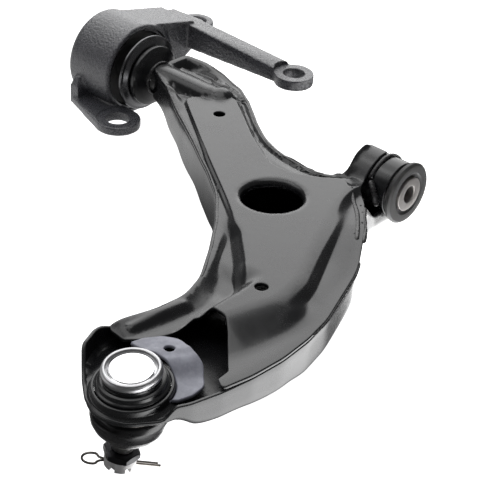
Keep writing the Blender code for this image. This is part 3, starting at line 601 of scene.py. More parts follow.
class Nodes:
    """A short way to build the nodes of a material or a world. Texture scales are per metre."""

    def __init__(self, owner, shader="Principled BSDF", place="Object"):
        owner.use_nodes = True
        self.owner = owner
        self.tree = owner.node_tree
        self.shader = self.tree.nodes[shader]
        self.place = self.tree.nodes.new("ShaderNodeTexCoord").outputs[place]

    def set(self, socket, value):
        """Links a socket to an output, or sets it to a number or, from a tuple, an opaque colour."""
        if isinstance(value, bpy.types.NodeSocket):
            self.tree.links.new(value, socket)
        else:
            socket.default_value = (*value, 1.0) if isinstance(value, tuple) else value

    def new(self, kind, links=(), **settings):
        node = self.tree.nodes.new(kind)
        for name, value in settings.items():
            setattr(node, name, value)
        for socket, value in dict(links).items():
            self.set(node.inputs[socket], value)
        return node

    def noise(self, scale, detail, roughness=0.55):
        links = {"Vector": self.place, "Scale": scale, "Detail": detail, "Roughness": roughness}
        return self.new("ShaderNodeTexNoise", links).outputs["Fac"]

    def ramp(self, value, low, high, start=0.0, end=1.0):
        links = {"Value": value, "From Min": low, "From Max": high, "To Min": start, "To Max": end}
        return self.new("ShaderNodeMapRange", links, interpolation_type="SMOOTHSTEP").outputs["Result"]

    def mix(self, share, first, second):
        """A mix of two colours. Sockets 6 and 7 of the node are its colours, and output 2 is their mix."""
        links = {"Factor": share, 6: first, 7: second}
        return self.new("ShaderNodeMix", links, data_type="RGBA").outputs[2]

    def maths(self, kind, first, second):
        return self.new("ShaderNodeMath", {0: first, 1: second}, operation=kind).outputs[0]

    def bump(self, heights):
        """A chain of bumps from (height, strength, distance in metres)."""
        links = {}
        for height, strength, distance in heights:
            links |= {"Height": height, "Strength": strength, "Distance": distance}
            links["Normal"] = self.new("ShaderNodeBump", links).outputs["Normal"]
        self.set(self.shader.inputs["Normal"], links["Normal"])

    def patches(self, dim, *bright):
        """A strength that is dim, and in places brighter.

        Each place is (strength, fade, fade, ...), and each fade is (axis, where it starts, where it is full).
        """
        split = self.new("ShaderNodeSeparateXYZ", {"Vector": self.place}).outputs
        total = dim
        for share, *fades in bright:
            for axis, low, high in fades:
                share = self.maths("MULTIPLY", self.ramp(split[axis], low, high), share)
            total = self.maths("ADD", share, total)
        return total

    def finish(self, **sockets):
        for name, value in sockets.items():
            self.set(self.shader.inputs[name.replace("_", " ").title().replace("Ior", "IOR")], value)
        return self.owner


def surface(name, cloud, grain, tones, rough, bumps, worn=None, **sockets):
    """A material from two noises, a broad cloud and a fine grain.

    A source is "cloud", "grain" or the settings of a further noise.
    tones: (source, low, high, share, colour, second colour), and worn is one more colour over them.
    rough: one or two of (source, low, high, from, to), which add up.
    bumps: (source, strength, distance).
    """
    n = Nodes(bpy.data.materials.new(name))
    shared = {"cloud": n.noise(*cloud), "grain": n.noise(*grain)}

    def source(key):
        return shared[key] if isinstance(key, str) else n.noise(*key)

    key, low, high, share, first, second = tones
    colour = n.mix(n.ramp(source(key), low, high, 0.0, share), first, second)
    if worn is not None:
        key, low, high, share, second = worn
        colour = n.mix(n.ramp(source(key), low, high, 0.0, share), colour, second)
    levels = [n.ramp(source(key), *limits) for key, *limits in rough]
    level = levels[0] if len(levels) == 1 else n.maths("ADD", *levels)
    n.bump([(source(key), strength, distance) for key, strength, distance in bumps])
    return n.finish(base_color=colour, roughness=level, **sockets)


def steel(name, colour, low, high, stain=0.35, metallic=1.0):
    """Turned steel: a fine grain and faint stains, between two roughnesses."""
    stained = tuple(c * 0.74 for c in colour)
    return surface(
        name, (60, 5, 0.6), (1800, 3, 0.6), ("cloud", 0.45, 0.75, stain, colour, stained),
        [("cloud", 0.3, 0.7, low, high), ("grain", 0.4, 0.7, 0.0, 0.05)],
        [("grain", 0.10, 0.00008), ((260, 3), 0.05, 0.0003)], metallic=metallic,
    )


def rubber(name, dark, light, low, high):
    """Moulded rubber: a faint bloom and fine pits, between two roughnesses."""
    return surface(
        name, (90, 5, 0.6), (1600, 4, 0.65), ("cloud", 0.35, 0.72, 1.0, dark, light),
        [("cloud", 0.3, 0.7, low, high), ("grain", 0.4, 0.7, 0.0, 0.08)],
        [("grain", 0.16, 0.0001), ((260, 3, 0.6), 0.10, 0.0003)],
    )


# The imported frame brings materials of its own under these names, so Blender adds a number to a new one
FINISH = {made.name.split(".")[0]: made for made in (
    # Satin black dip paint on pressed steel: a faint orange peel, dust, small scuffs
    surface(
        "black_coat", (22, 5, 0.6), (1300, 3, 0.6),
        ("cloud", 0.35, 0.7, 1.0, (0.0075, 0.0078, 0.0088), (0.0125, 0.0128, 0.0140)),
        [("cloud", 0.3, 0.7, 0.19, 0.27), ("grain", 0.35, 0.75, 0.0, 0.06)],
        [((150, 2, 0.5), 0.10, 0.0006), ("grain", 0.10, 0.00010)],
        ((420, 4, 0.7), 0.60, 0.74, 0.22, (0.035, 0.034, 0.033)), specular_ior_level=0.5,
    ),
    # The same paint on the gusset, matte and a little bluish, coloured pale grey as a painted reflection of
    # the light behind
    surface(
        "gusset_painted_light_coat", (70, 5, 0.65), (1100, 4, 0.65),
        ("cloud", 0.35, 0.7, 1.0, (0.21, 0.215, 0.26), (0.34, 0.347, 0.41)),
        [("grain", 0.3, 0.7, 0.36, 0.55)],
        [((300, 3, 0.6), 0.14, 0.0004), ("grain", 0.20, 0.00015)],
    ),
    # The same paint over a weld bead: glossier, over fine scale
    surface(
        "weld_coat", (300, 4, 0.6), (900, 4, 0.65),
        ("grain", 0.4, 0.7, 1.0, (0.010, 0.010, 0.011), (0.030, 0.029, 0.030)),
        [("cloud", 0.3, 0.7, 0.16, 0.38)],
        [((480, 5, 0.65), 0.45, 0.0005), ("grain", 0.25, 0.0002)],
    ),
    # Painted casting: a sandy skin under dark grey paint, paler where it is worn
    surface(
        "cast_coat", (35, 5, 0.6), (950, 5, 0.7),
        ("cloud", 0.35, 0.7, 1.0, (0.034, 0.035, 0.042), (0.058, 0.058, 0.067)),
        [("grain", 0.3, 0.7, 0.20, 0.38)],
        [((420, 3, 0.6), 0.8, 0.0012), ("grain", 0.5, 0.0003)],
        ("grain", 0.52, 0.68, 0.5, (0.17, 0.17, 0.185)), specular_ior_level=0.95,
    ),
    # Zinc-plated steel: a mottled matte metal
    surface(
        "zinc_grey", (180, 5, 0.65), (1500, 3, 0.6),
        ("cloud", 0.35, 0.7, 1.0, (0.40, 0.395, 0.385), (0.27, 0.27, 0.275)),
        [("cloud", 0.3, 0.7, 0.30, 0.44), ("grain", 0.4, 0.7, 0.0, 0.1)],
        [("grain", 0.18, 0.00012), ("cloud", 0.10, 0.0003)], metallic=1.0,
    ),
    # Bearing polymer: milky, faintly mottled
    surface(
        "seat_polymer", (120, 4, 0.6), (1200, 3),
        ("cloud", 0.4, 0.7, 1.0, (0.70, 0.69, 0.64), (0.62, 0.60, 0.54)),
        [("cloud", 0.3, 0.7, 0.38, 0.5)], [("grain", 0.12, 0.0001)],
    ),
    rubber("bush_rubber", (0.026, 0.026, 0.027), (0.045, 0.044, 0.043), 0.50, 0.66),
    rubber("boot_rubber", (0.009, 0.009, 0.010), (0.015, 0.015, 0.016), 0.22, 0.34),
    steel("bright_steel", (0.80, 0.80, 0.81), 0.10, 0.17),
    steel("wire_steel", (0.20, 0.185, 0.17), 0.30, 0.45, 0.7),
    steel("crown_steel", (0.62, 0.61, 0.61), 0.40, 0.55, 0.8, 0.2),
    steel("sleeve_steel", (0.30, 0.285, 0.275), 0.44, 0.56, 0.4),
    # The closing cap's rim: the cap's steel, rougher, and darker than its disc as painted shade
    steel("rim_painted_shade_steel", (0.44, 0.44, 0.45), 0.28, 0.36, 0.6),
    # The castle nut's hexagon: its steel coloured near black as painted shade under the boot
    steel("nut_painted_shade_steel", (0.032, 0.032, 0.034), 0.28, 0.42, 0.6),
    steel("washer_steel", (0.13, 0.13, 0.135), 0.20, 0.30, 0.6),
)}

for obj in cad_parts.values():
    for holder in obj.material_slots:
        base = (holder.material.name if holder.material else "zinc_grey").split(".")[0]
        holder.material = FINISH.get(base, FINISH["zinc_grey"])


# ---------------------------------------------------------------- stampings


PLATE_OUTLINE = evened(rounded(INNER_EDGE + PLATE_CUTOUT + OUTER_EDGE + PLATE_EAR + FAR_EDGE), 2.2, 0.7)
SHELL_OUTLINE = evened(rounded(INNER_EDGE + SHELL_BALL_END + OUTER_EDGE + SHELL_CRADLE + FAR_EDGE), 2.6, 1.0)
PANEL_OUTLINE = evened(rounded(RAISED_PANEL, 2.4), 2.4, 1.0)
INNER_LINE = rounded(INNER_EDGE, 9.0, False)
OUTER_LINE = rounded(OUTER_EDGE, 9.0, False)
FAR_LINE = rounded(FAR_EDGE, 9.0, False)


def panel_level(x):
    """Height of the raised panel, which climbs along X."""
    return PANEL_HEIGHT + PANEL_SLOPE * (x - FRONT_FACE_X)


def rim_drop(x):
    """How far the plate's flange lies below the panel."""
    neck_rise = 0.15 * np.maximum(-178 - x, 0) + 1.5 * smooth((-x - 105) / 30)
    return INNER_RIM_DROP + (OUTER_RIM_DROP - INNER_RIM_DROP) * smooth((x - 36) / 46) - neck_rise


def ridge(x, y, line, width, height):
    """A pressed rib along a line, which fades at both ends."""
    away, share = line_distance(x, y, line)
    fade = smooth(share / RIDGE_FADE) * smooth((1 - share) / RIDGE_FADE)
    return height * smooth(1 - away / width) * fade


def side_shares(x, y):
    """How much each point belongs to the inner, the outer and the far side of the panel."""
    to_inner = line_distance(x, y, INNER_LINE)[0]
    to_outer = line_distance(x, y, OUTER_LINE)[0]
    to_far = line_distance(x, y, FAR_LINE)[0]
    inner = smooth((np.minimum(to_outer, to_far) - to_inner) / 14 + 0.5)
    outer = (1 - inner) * smooth((to_far - to_outer) / 14 + 0.5)
    return inner, outer, 1 - inner - outer


def pressed_drop(x, y, outside):
    """How far the plate lies below the panel, at a distance outside the panel's outline.

    It is a steep wall on the inner and the far side, and a soft shoulder on the outer side.
    """
    inner, _, far = side_shares(x, y)
    near_foot = smooth((-y - 210) / 14) * smooth((x - 36) / 6)
    inner, far = inner * (1 - near_foot), far * (1 - near_foot)
    outer = 1 - inner - far
    turned = smooth((-y - 138) / 18)
    beside_hole = smooth((x + 125) / 30)
    deep_foot = 5.6 * turned * smooth((y + 226) / 30)
    inner_step = 3.2 - 0.4 * beside_hole * (1 - turned) + deep_foot
    inner_wall = 2.2 + 9.8 * smooth((x + 115) / 30)
    inner_drop = inner_step * smooth((outside + 2 * turned) / inner_wall)
    far_drop = 3.4 * smooth(outside / 3.6)
    low = smooth((-y - 168) / 48)
    leaf = 4.6 * smooth((-y - 74) / 60) * smooth((y + 200) / 26)
    shoulder = 2.4 + 1.4 * smooth((-y - 100) / 50) + 7.0 * low
    outer_drop = leaf * smooth((outside - 10.4) / 6.4) + shoulder * smooth((outside + 1) / (20 + 20 * low))
    return inner * inner_drop + far * far_drop + outer * outer_drop


def dome_height(away, radius):
    """Height of a round dome at a distance from its middle, and 0 outside it."""
    return np.sqrt(np.maximum(radius**2 - away**2, 0))


def plate_height(x, y):
    """Top of the upper plate: a raised panel between pressed channels, domed over the stem and the tube."""
    outside = -inside_distance(x, y, PANEL_OUTLINE)
    from_edge = inside_distance(x, y, SHELL_OUTLINE)
    drop = pressed_drop(x, y, outside)
    # The flange: it reaches further in on the outer side and beside the main hole
    reach = 1 + 1.1 * smooth(x / 25) + 0.6 * smooth((x + 125) / 30) * smooth((-x - 5) / 20)
    rim = smooth((2.4 * RIM_WIDTH * reach - from_edge) / (1.3 * RIM_WIDTH * (2 * reach - 1)))
    drop = drop + (rim_drop(x) - drop) * rim * smooth(outside / 4)
    # The tongue that leads to the ball joint falls away from its edge
    tongue = smooth((-y - 182) / 30) * smooth((44 - x) / 10)
    drop = drop + 0.52 * np.clip(from_edge - 2.5, 0, 13) * tongue
    # The turned-down lip of the main hole
    from_hole = np.maximum(np.hypot(x - MAIN_HOLE[0], y - MAIN_HOLE[1]) - MAIN_HOLE[2], 0)
    lip = np.clip(MAIN_LIP - from_hole, 0, MAIN_LIP)
    drop = drop + MAIN_LIP - np.sqrt(MAIN_LIP**2 - lip**2 * 0.98)
    # A groove along the far edge
    groove = GROOVE_DEPTH * smooth((2.6 - np.abs(from_edge - GROOVE_IN)) / 1.8)
    far_side = smooth((y + 15 + 0.55 * (x + 160)) / 8) * smooth((x + 164) / 8) * smooth((-2 - x) / 12)
    z = panel_level(x) - drop - groove * far_side
    for rib in PANEL_RIBS:
        z = z + ridge(x, y, *rib)
    # Over the stem: a steeper side towards the inner edge, a longer one towards the far edge
    across = (y + 2) * np.where(y > -2, 0.72, 1.35)
    z = smooth_max(z, dome_height(np.hypot(across, np.maximum(x - STEM_TIP_X, 0)), STEM_DOME), 1.6)
    tip_x, tip_y, tip_r, tip_foot, flatness = TIP_DOME
    z = smooth_max(z, tip_foot + flatness * dome_height(np.hypot(x - tip_x, y - tip_y), tip_r), 1.0)
    for fold in NECK_FOLDS:
        z = z + ridge(x, y, *fold)
    # Over the tube
    over_tube = smooth_max(z, dome_height(y, TUBE_R + SHEET + 0.5), 7.0)
    z = z + (over_tube - z) * smooth((x + 50) / 34)
    return z + ridge(x, y, *TUBE_FOLD)


def shell_floor(x, y):
    """Underside of the lower shell: through its stations, with one hump, and a flat seat round the ball."""
    stations = np.array(SHELL_FLOOR, float)
    away = np.hypot(x[:, None] - stations[:, 0], y[:, None] - stations[:, 1]) + 4
    weight = away**-3.0
    z = (weight * stations[:, 2]).sum(1) / weight.sum(1)
    hump_x, hump_y, radius, fade, height = SHELL_HUMP
    z = z + height * smooth((radius - np.hypot(x - hump_x, y - hump_y)) / fade)
    seat = BALL.z - 2.8 + math.tan(BALL_LEAN) * (y - BALL.y)
    from_ball = np.hypot(x - BALL.x, y - BALL.y)
    return seat + (z - seat) * smooth((from_ball - 32) / 14)


def shell_rim(x, y):
    """Top of the lower shell's wall: under the plate, low in front of the ball joint and under the tube."""
    z = panel_level(x) - rim_drop(x) - SHEET - 0.1
    z = z + 3 * smooth((-y - 292) / 10) * smooth((40 - x) / 20)
    cut = -341 + (x - 20) * 0.22
    open_inner, open_outer = smooth((-321 - y) / 20), smooth((cut + 4 - y) / 8)
    open_front = open_inner + (open_outer - open_inner) * smooth((x - 40) / 20)
    z = z + (shell_floor(x, y) + 3.4 - z) * open_front
    cradle = smooth((x - 6) / 10) * smooth((y + 52) / 22)
    return z + (-11 - z) * cradle


def lower_shell():
    """A pan with rounded foot and rim, and the collar round the ball joint's hole."""
    loop = SHELL_OUTLINE
    count = len(loop)
    floor, rim = shell_floor(*loop.T), shell_rim(*loop.T)
    foot = np.minimum(FOOT_ROUND, 0.45 * (rim - floor))
    inner_foot = np.maximum(foot, SHEET + 0.3)
    holes = [circle(BALL.x, BALL.y, BALL_HOLE_R, 96), circle(*MAIN_HOLE[:2], DRAIN_R, 64)]
    plan, faces = triangulated(inset(loop, inner_foot), holes, 5.0, rings=(0.8,))
    under = shell_floor(*plan.T)
    bm = bmesh.new()
    bottom, top = skins(bm, plan, faces, under, under + SHEET)
    for a, b in border(faces):
        if max(a, b) >= count:
            bm.faces.new((top[b], top[a], bottom[a], bottom[b]))
    # Stations of the wall as (distance inwards, height): up the outside, over the edge and down the inside
    wall_top = rim - EDGE_ROUND
    stations = [
        (inner_foot * (1 - math.sin(a)), floor + foot * (1 - math.cos(a)))
        for a in np.radians((20, 40, 60, 75, 90))
    ]
    stations += [(0, floor + foot + (wall_top - floor - foot) * share) for share in (0.25, 0.5, 0.75)]
    over = [
        (EDGE_ROUND * (1 - math.cos(a)), wall_top + EDGE_ROUND * math.sin(a))
        for a in np.radians((0, 30, 60, 90))
    ]
    stations += over + [(SHEET - distance, z) for distance, z in over[2::-1]]
    low_inner = floor + np.maximum(foot, SHEET + 0.2)
    stations += [(SHEET, low_inner + (wall_top - low_inner) * share) for share in (0.66, 0.33, 0.0)]
    rings = [bottom[:count]]
    for distance, z in stations:
        rings.append([bm.verts.new((x, y, h)) for (x, y), h in zip(inset(loop, distance), z)])
    rings.append(top[:count])
    joined(bm, rings)
    collar = [
        (24.5, -2.4), (30.5, -2.4, 0.4), (30.5, -0.4, 1.0), (27.1, 1.6, 2.2), (26.9, 6.9, 1.1),
        (24.5, 7.1, 0.7),
    ]
    return merged(outward(without_loose(bm)), lathe(collar, HOUSING_PLACE))


def gusset_height(x, y):
    """Top of the gusset: it folds down towards the ball joint, over a faint swell."""
    along = (x - 40) * 0.82 - (y + 280) * 0.57
    swell = 0.8 * smooth((along - 6) / 5) * smooth((18 - along) / 6)
    return 8 - 7.6 * smooth((along - 18) / 17) + swell


def make_stampings():
    holes = [circle(*MAIN_HOLE, 128)] + [circle(*hole, 40) for hole in SMALL_HOLES]
    over_stem = (-234, -160, -32, 38, 1.5)
    ball_side = (-2, 44, -298, -236, 1.6)
    feature = (PANEL_OUTLINE, PRESSED_ROWS)
    plate = sheet(PLATE_OUTLINE, holes, plate_height, 2.3, (over_stem, ball_side), feature)
    piece("plate_pressing", plate, "black_coat", "arm", ["upper_plate"], angle=46)
    piece("shell_pressing", lower_shell(), "black_coat", "arm", ["lower_shell"], angle=46, recalc=False)
    turn = np.radians(np.linspace(118, 12, 60))
    inner = np.stack([BALL.x + GUSSET_INNER_R * np.cos(turn), BALL.y + GUSSET_INNER_R * np.sin(turn)], 1)
    outline = evened(np.concatenate([inner, rounded(GUSSET_EDGE, 1.5)]), 1.8)
    gusset = sheet(outline, [circle(*GUSSET_HOLE, 40)], gusset_height, 1.7)
    # The gusset's pale colour is painted light: a reflection of the light behind
    piece("gusset_pressing", gusset, "gusset_painted_light_coat", "arm", ["joint_gusset"])


# ---------------------------------------------------------------- bushes and stem


def make_front_bush():
    low, high = TUBE_X
    face, far = FRONT_FACE_X - 0.6, low - 5
    sleeve_r = FRONT_SLEEVE_R + 0.3
    eye = [(TUBE_R, low), (TUBE_R, high, 0.9), (TUBE_BORE_R, high, 0.6), (TUBE_BORE_R, low)]
    piece("front_eye", lathe(eye, ALONG_X), "black_coat", "arm", ["front_bush_tube"])
    case = tube(19.7, 17.8, low - 2, high + 3)
    piece("front_case", case, "zinc_grey", "arm", ["front_bush_case"])
    soft = [
        (sleeve_r, far + 0.8), (sleeve_r + 1.6, far, 0.8), (20.3, far, 0.6), (21.5, far + 1),
        (21.2, low - 2.3), (17.5, low - 2.3), (17.5, high + 3.3), (24.7, high + 3.3, 0.4),
        (25.3, face - 1.8, 0.8), (23.6, face, 0.9), (17.6, face - 0.1, 1.2), (16.2, face - 1.6, 0.8),
        (sleeve_r, face - 1.9, 0.3),
    ]
    piece("front_rubber", lathe(soft, ALONG_X, 0.3), "bush_rubber", "arm", ["front_bush_rubber"])
    sleeve = [
        (FRONT_SLEEVE_R, far - 0.6), (FRONT_SLEEVE_R, FRONT_FACE_X, 0.6), (FRONT_BOLT_R, FRONT_FACE_X, 1.1),
        (FRONT_BOLT_R, far - 0.6),
    ]
    piece("front_sleeve_core", lathe(sleeve, ALONG_X), "sleeve_steel", "front_sleeve", ["front_inner_sleeve"])


def make_rear_bush():
    back, front = BRACKET_X
    stem = [
        (0, -336), (6.8, -336, 0.5), (8, -334.6, 0.4), (8, -314), (10, -312), (10, -248.7, 0.3),
        (26, -248.7, 1.2), (27, -247.5, 1.2), (27, -244, 1.5), (23, -242, 2), (17, -240, 3),
        (STEM_R, -238, 2), (8, -232, 4), (8, STEM_TIP_X - 2), (6, STEM_TIP_X), (0, STEM_TIP_X),
    ]
    piece("stem_forging", lathe(stem, ALONG_X), "black_coat", "arm", ["rear_stem"])
    case = [(37.2, back + 3), (37.2, front - 1, 0.5), (34.8, front - 1, 0.5), (34.8, back + 3)]
    piece("rear_case", lathe(case, ALONG_X), "washer_steel", "bracket", ["rear_bush_case"])
    inner = REAR_SLEEVE_R + 0.3
    soft = [
        (inner, back + 8), (24, back + 12, 5), (34.5, back + 7, 1.5), (34.5, front - 4.5, 1.5),
        (27, front - 9, 4), (20, front - 9.6, 3), (inner, front - 5, 1),
    ]
    piece("rear_rubber", lathe(soft, ALONG_X), "bush_rubber", "bracket", ["rear_bush_rubber"])
    low, high = WASHER_X
    bore = REAR_SLEEVE_BORE_R
    sleeve = tube(REAR_SLEEVE_R, bore, back - 2, low - 0.3)
    piece("rear_sleeve_core", sleeve, "zinc_grey", "arm", ["rear_inner_sleeve"])
    dished = [
        (bore, low), (26, low, 2), (31, low - 3, 2), (34, low - 3, 0.8), (34, low - 0.5, 1.0), (31.6, low, 2),
        (28, high - 0.3, 1.5), (bore, high - 0.3),
    ]
    piece("stop_washer", lathe(dished, ALONG_X), "washer_steel", "arm", ["front_stop_washer"])
    washer = tube(21, 8.3, back - 5.3, back - 2.3)
    piece("end_washer", washer, "zinc_grey", "arm", ["rear_washer"])
    nut = hex_nut(24, -331, back - 5.6, 8.3)
    nut.transform(ALONG_X)
    piece("stem_lock_nut", nut, "zinc_grey", "arm", ["stem_nut"])


def cutter(radius, low, high, place, segments):
    """A plain cylinder to cut with."""
    return lathe([(0, low), (radius, low), (radius, high), (0, high)], place, 0, segments)


def hex_nut(across_flats, low, high, bore):
    """A hexagon nut with turned chamfers at both ends."""
    corner, flat = across_flats / math.sqrt(3), across_flats / 2
    turn = [math.pi * (i / 3 + 1 / 6) for i in range(6)]
    body = hull([(corner * math.cos(a), corner * math.sin(a), z) for a in turn for z in (low, high)])
    crown = [
        (0, low), (flat * 0.96, low), (corner + 0.3, low + 1.5), (corner + 0.3, high - 1.5),
        (flat * 0.96, high), (0, high),
    ]
    hole = cutter(bore, low - 5, high + 5, None, 64)
    return carved(body, [("INTERSECT", lathe(crown, None, 0, 64)), ("DIFFERENCE", hole)])


# ---------------------------------------------------------------- bracket


def ear_solid(ear, root=()):
    """A flat round ear, drawn out to the points of its root."""
    x, y, top, thickness, radius, _ = ear
    return hull([*disc(x, y, top - thickness, radius), *disc(x, y, top, radius), *root])


def ear_neck(ear, radius, rise, root):
    """The web between an ear and the points of its root."""
    x, y, top, thickness, _, _ = ear
    return hull([*disc(x, y, top - thickness + 0.5, radius), *disc(x, y, top + rise, radius - 2), *root])


def softened(target):
    """Modifiers that melt the bracket's solids into one, with filleted joints."""
    voxels = target.modifiers.new("voxels", "REMESH")
    voxels.mode = "VOXEL"
    voxels.voxel_size = 1.0
    voxels.use_smooth_shade = True
    relax = target.modifiers.new("relax", "SMOOTH")
    relax.factor = 0.5
    relax.iterations = 9


def make_bracket():
    back, front = BRACKET_X
    radius = BRACKET_R
    drum = [
        (0, back), (radius - 3, back, 2), (radius, back + 3.5, 3), (radius, front - 1.5, 2),
        (radius - 1.4, front, 1), (0, front),
    ]
    lug = box_points((-302, -292), (-47, -30), (-31, -14)) + box_points((-300, -294), (-44, -34), (-7, -6))
    web = [(x, y, z) for x in (-307, -265) for y, z in ((4, 40), (72, 24), (76, -1), (26, -29))]
    near_root = box_points((-301, -272), (-47, -24), (-31.5, -25))
    back_root = box_points((-306, -268), (64, 86), (-3, 18))
    long_root = [(x, y, z) for x in (-304, -266) for y, z in ((64, -1), (64, 23), (91, -1), (86, 19))]
    whole = merged(
        lathe(drum, ALONG_X, segments=96), ear_solid(NEAR_EAR, near_root), hull(lug), hull(web),
        ear_neck(BACK_EAR, 9, -0.4, back_root), ear_solid(BACK_EAR), ear_neck(LONG_EAR, 12, 1, long_root),
        ear_solid(LONG_EAR),
    )
    whole = carved(whole, [("MODIFIER", softened)])
    cuts = [cutter(BRACKET_BORE_R, back - 5, front + 5, ALONG_X, 128)]
    for x, y, top, _, _, hole in (NEAR_EAR, LONG_EAR, BACK_EAR):
        profile = [(0, -30), (hole, -30), (hole, -1.1), (hole + 1.3, 0.25), (hole + 3.0, 8), (0, 8)]
        cuts.append(lathe(profile, Matrix.Translation((x, y, top)), 0, 64))
    for ear, radius, depth in SPOT_FACES:
        profile = [(0, -depth), (radius - 0.6, -depth), (radius, 0.1 - depth), (radius + 2.5, 14), (0, 14)]
        cuts.append(lathe(profile, Matrix.Translation(ear[:3]), 0, 96))
    whole = carved(whole, [("DIFFERENCE", cut) for cut in cuts])
    piece("bracket_casting", whole, "cast_coat", "bracket", ["rear_bracket"], angle=34)


# ---------------------------------------------------------------- ball joint


def make_ball_joint():
    housing = [
        (12.6, -12), (19.5, -12), (19.5, -7.8), (22.6, -7.8), (24.2, -5.5, 1), (24.2, 8.2, 0.8),
        (22.6, 9.0, 0.6), (22.2, 11.6, 0.8), (20.4, 12.3, 0.6), (18.8, 12.4, 0.4), (18.6, 14.7, 0.5),
        (16.2, 14.7), (16.2, -2.5), (12.6, -7.5),
    ]
    piece("joint_housing", lathe(housing, HOUSING_PLACE), "black_coat", "arm", ["ball_joint_housing"])
    cap = [
        (0, 15.5), (15.6, 15.5), (15.6, 18.9, 0.2), (14.9, 19.1, 0.3), (14.3, 19.65, 0.6), (13.0, 19.75, 1),
        (0, 19.9),
    ]
    piece("joint_cap", lathe(cap, HOUSING_PLACE), "bright_steel", "arm", ["closing_cap"])
    rim = [
        (15.7, 15), (18.2, 15, 0.5), (CAP_R - 0.1, 15.9, 1.2), (CAP_R, 18.4, 1.8), (18.9, 20.7, 1.6),
        (17.0, 21.0, 1.6), (15.8, 19.4, 0.7), (15.7, 18.4),
    ]
    # The rim's darker steel is painted shade, a dimmer copy of the cap's bright steel
    piece("cap_rim", lathe(rim, HOUSING_PLACE), "rim_painted_shade_steel", "arm")
    ring = tube(22.3, 21.1, -10.6, -8.6, HOUSING_PLACE, 0.4)
    piece("boot_ring_upper", ring, "wire_steel", "arm", ["boot_upper_ring"])
    make_boot()
    ring = tube(10.9, 8.9, -33.6, -30.2, STUD_PLACE, 0.4)
    piece("boot_ring_lower", ring, "wire_steel", "boot_foot", ["boot_lower_ring"])
    ball = [(BALL_R * math.cos(a), BALL_R * math.sin(a), 0) for a in np.radians(np.linspace(62, -61, 26))]
    threads = []
    for k in range(THREAD_TURNS):
        top = THREAD_TOP - THREAD_PITCH * k
        threads += [(6.9, top, 0.1), (6.9, top - 0.25, 0.1), (6.15, top - 0.65, 0.1), (6.15, top - 0.9, 0.1)]
    stud = [
        (0, 12.0, 0), *ball, (6.5, -20, 3), (8.6, -26, 4), (8.6, -35, 4), (7.2, -46.5, 0.5), *threads,
        (6.1, -62.7, 0.4), (0, -62.7, 0),
    ]
    piece("taper_stud", lathe(stud, STUD_PLACE, 0.3, 72), "zinc_grey", "stud", ["ball_stud"])
    make_nut()
    make_pin()


def make_boot():
    """A turned bellows in two halves, which meet where it is widest. It follows the stud's lean."""
    profile = [
        (20.9, -8.5, 0.4), (21.0, -10.6, 0.8), (23.8, -12.0, 2.0), (25.4, -15.5, 3.2), (25.5, BOOT_SPLIT, 0),
        (25.4, -19.5, 4), (24.7, -23.4, 6), (22.3, -28.0, 4), (19.4, -30.2, 1.0), (18.3, -32.3, 1.3),
        (15.6, -34.2, 1.6), (13.4, -35.2, 0.8), (11.2, -35.0, 0.5),
        (11.2, -30.6, 0.5), (14.2, -29, 2), (17.6, -26.4, 3), (21.6, -22.8, 4), (23.3, -19, 2),
        (23.4, BOOT_SPLIT, 0), (23.3, -15.8, 2), (21.6, -13.6, 2), (19.9, -12.4, 0.6), (19.9, -8.5, 0.4),
    ]
    level = Matrix.Identity(3).to_quaternion()
    leant = Matrix.Rotation(-BALL_LEAN, 3, "X").to_quaternion() @ STUD_TURN
    for name, side, bodies, heights in (
        ("boot_bellows_upper", 1, ("arm", "boot"), (-9.5, -16.5)),
        ("boot_bellows_lower", -1, ("boot", "boot_foot"), (-18.5, -31.0)),
    ):
        bm = lathe([point for point in profile if side * (point[1] - BOOT_SPLIT) >= 0], None, 0.3)
        for vertex in bm.verts:
            share = float(smooth((-11.5 - vertex.co.z) / 7))
            vertex.co.rotate(level.slerp(leant, share))
        bm.transform(HOUSING_PLACE)
        made = piece(name, bm, "boot_rubber", None, ["dust_boot"], angle=50)
        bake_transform(made)


def bevelled(target):
    """A modifier that breaks the crown's sharp edges."""
    edges = target.modifiers.new("edges", "BEVEL")
    edges.width = 0.28
    edges.segments = 2
    edges.limit_method = "ANGLE"
    edges.angle_limit = math.radians(40)


def make_nut():
    """A castle nut: a hexagon and a slotted crown."""
    nut_top, crown_top, slot_top, foot = -47.4, -52.8, -56.7, -61.1
    body = hex_nut(22, crown_top - 0.2, nut_top, 7.1)
    crown = lathe([
        (10.7, foot + 0.6, 0.4), (11.0, crown_top + 2, 0.2), (7.3, crown_top + 2, 0.2), (7.3, foot, 0.4),
        (9.7, foot, 0.4),
    ], None, 0.3, 72)
    steps = []
    for i in range(6):
        wide = box_points((6.0, 12.5), (-2.0, 2.0), (-10, -0.6))
        slot = hull(wide + box_points((6.0, 12.5), (-1.0, 1.0), (-10, 0)))
        turn = Matrix.Rotation(PIN_ANGLE + math.radians(60 * i), 4, "Z")
        slot.transform(turn @ Matrix.Translation((0, 0, slot_top)))
        steps.append(("DIFFERENCE", slot))
    crown = carved(carved(crown, steps), [("MODIFIER", bevelled)])
    body.transform(STUD_PLACE)
    # The hexagon's near-black steel is painted shade from the boot above it
    piece("nut_hexagon", body, "nut_painted_shade_steel", "stud", ["castle_nut"], angle=25)
    crown.transform(STUD_PLACE)
    piece("nut_crown", crown, "crown_steel", "stud", angle=30)


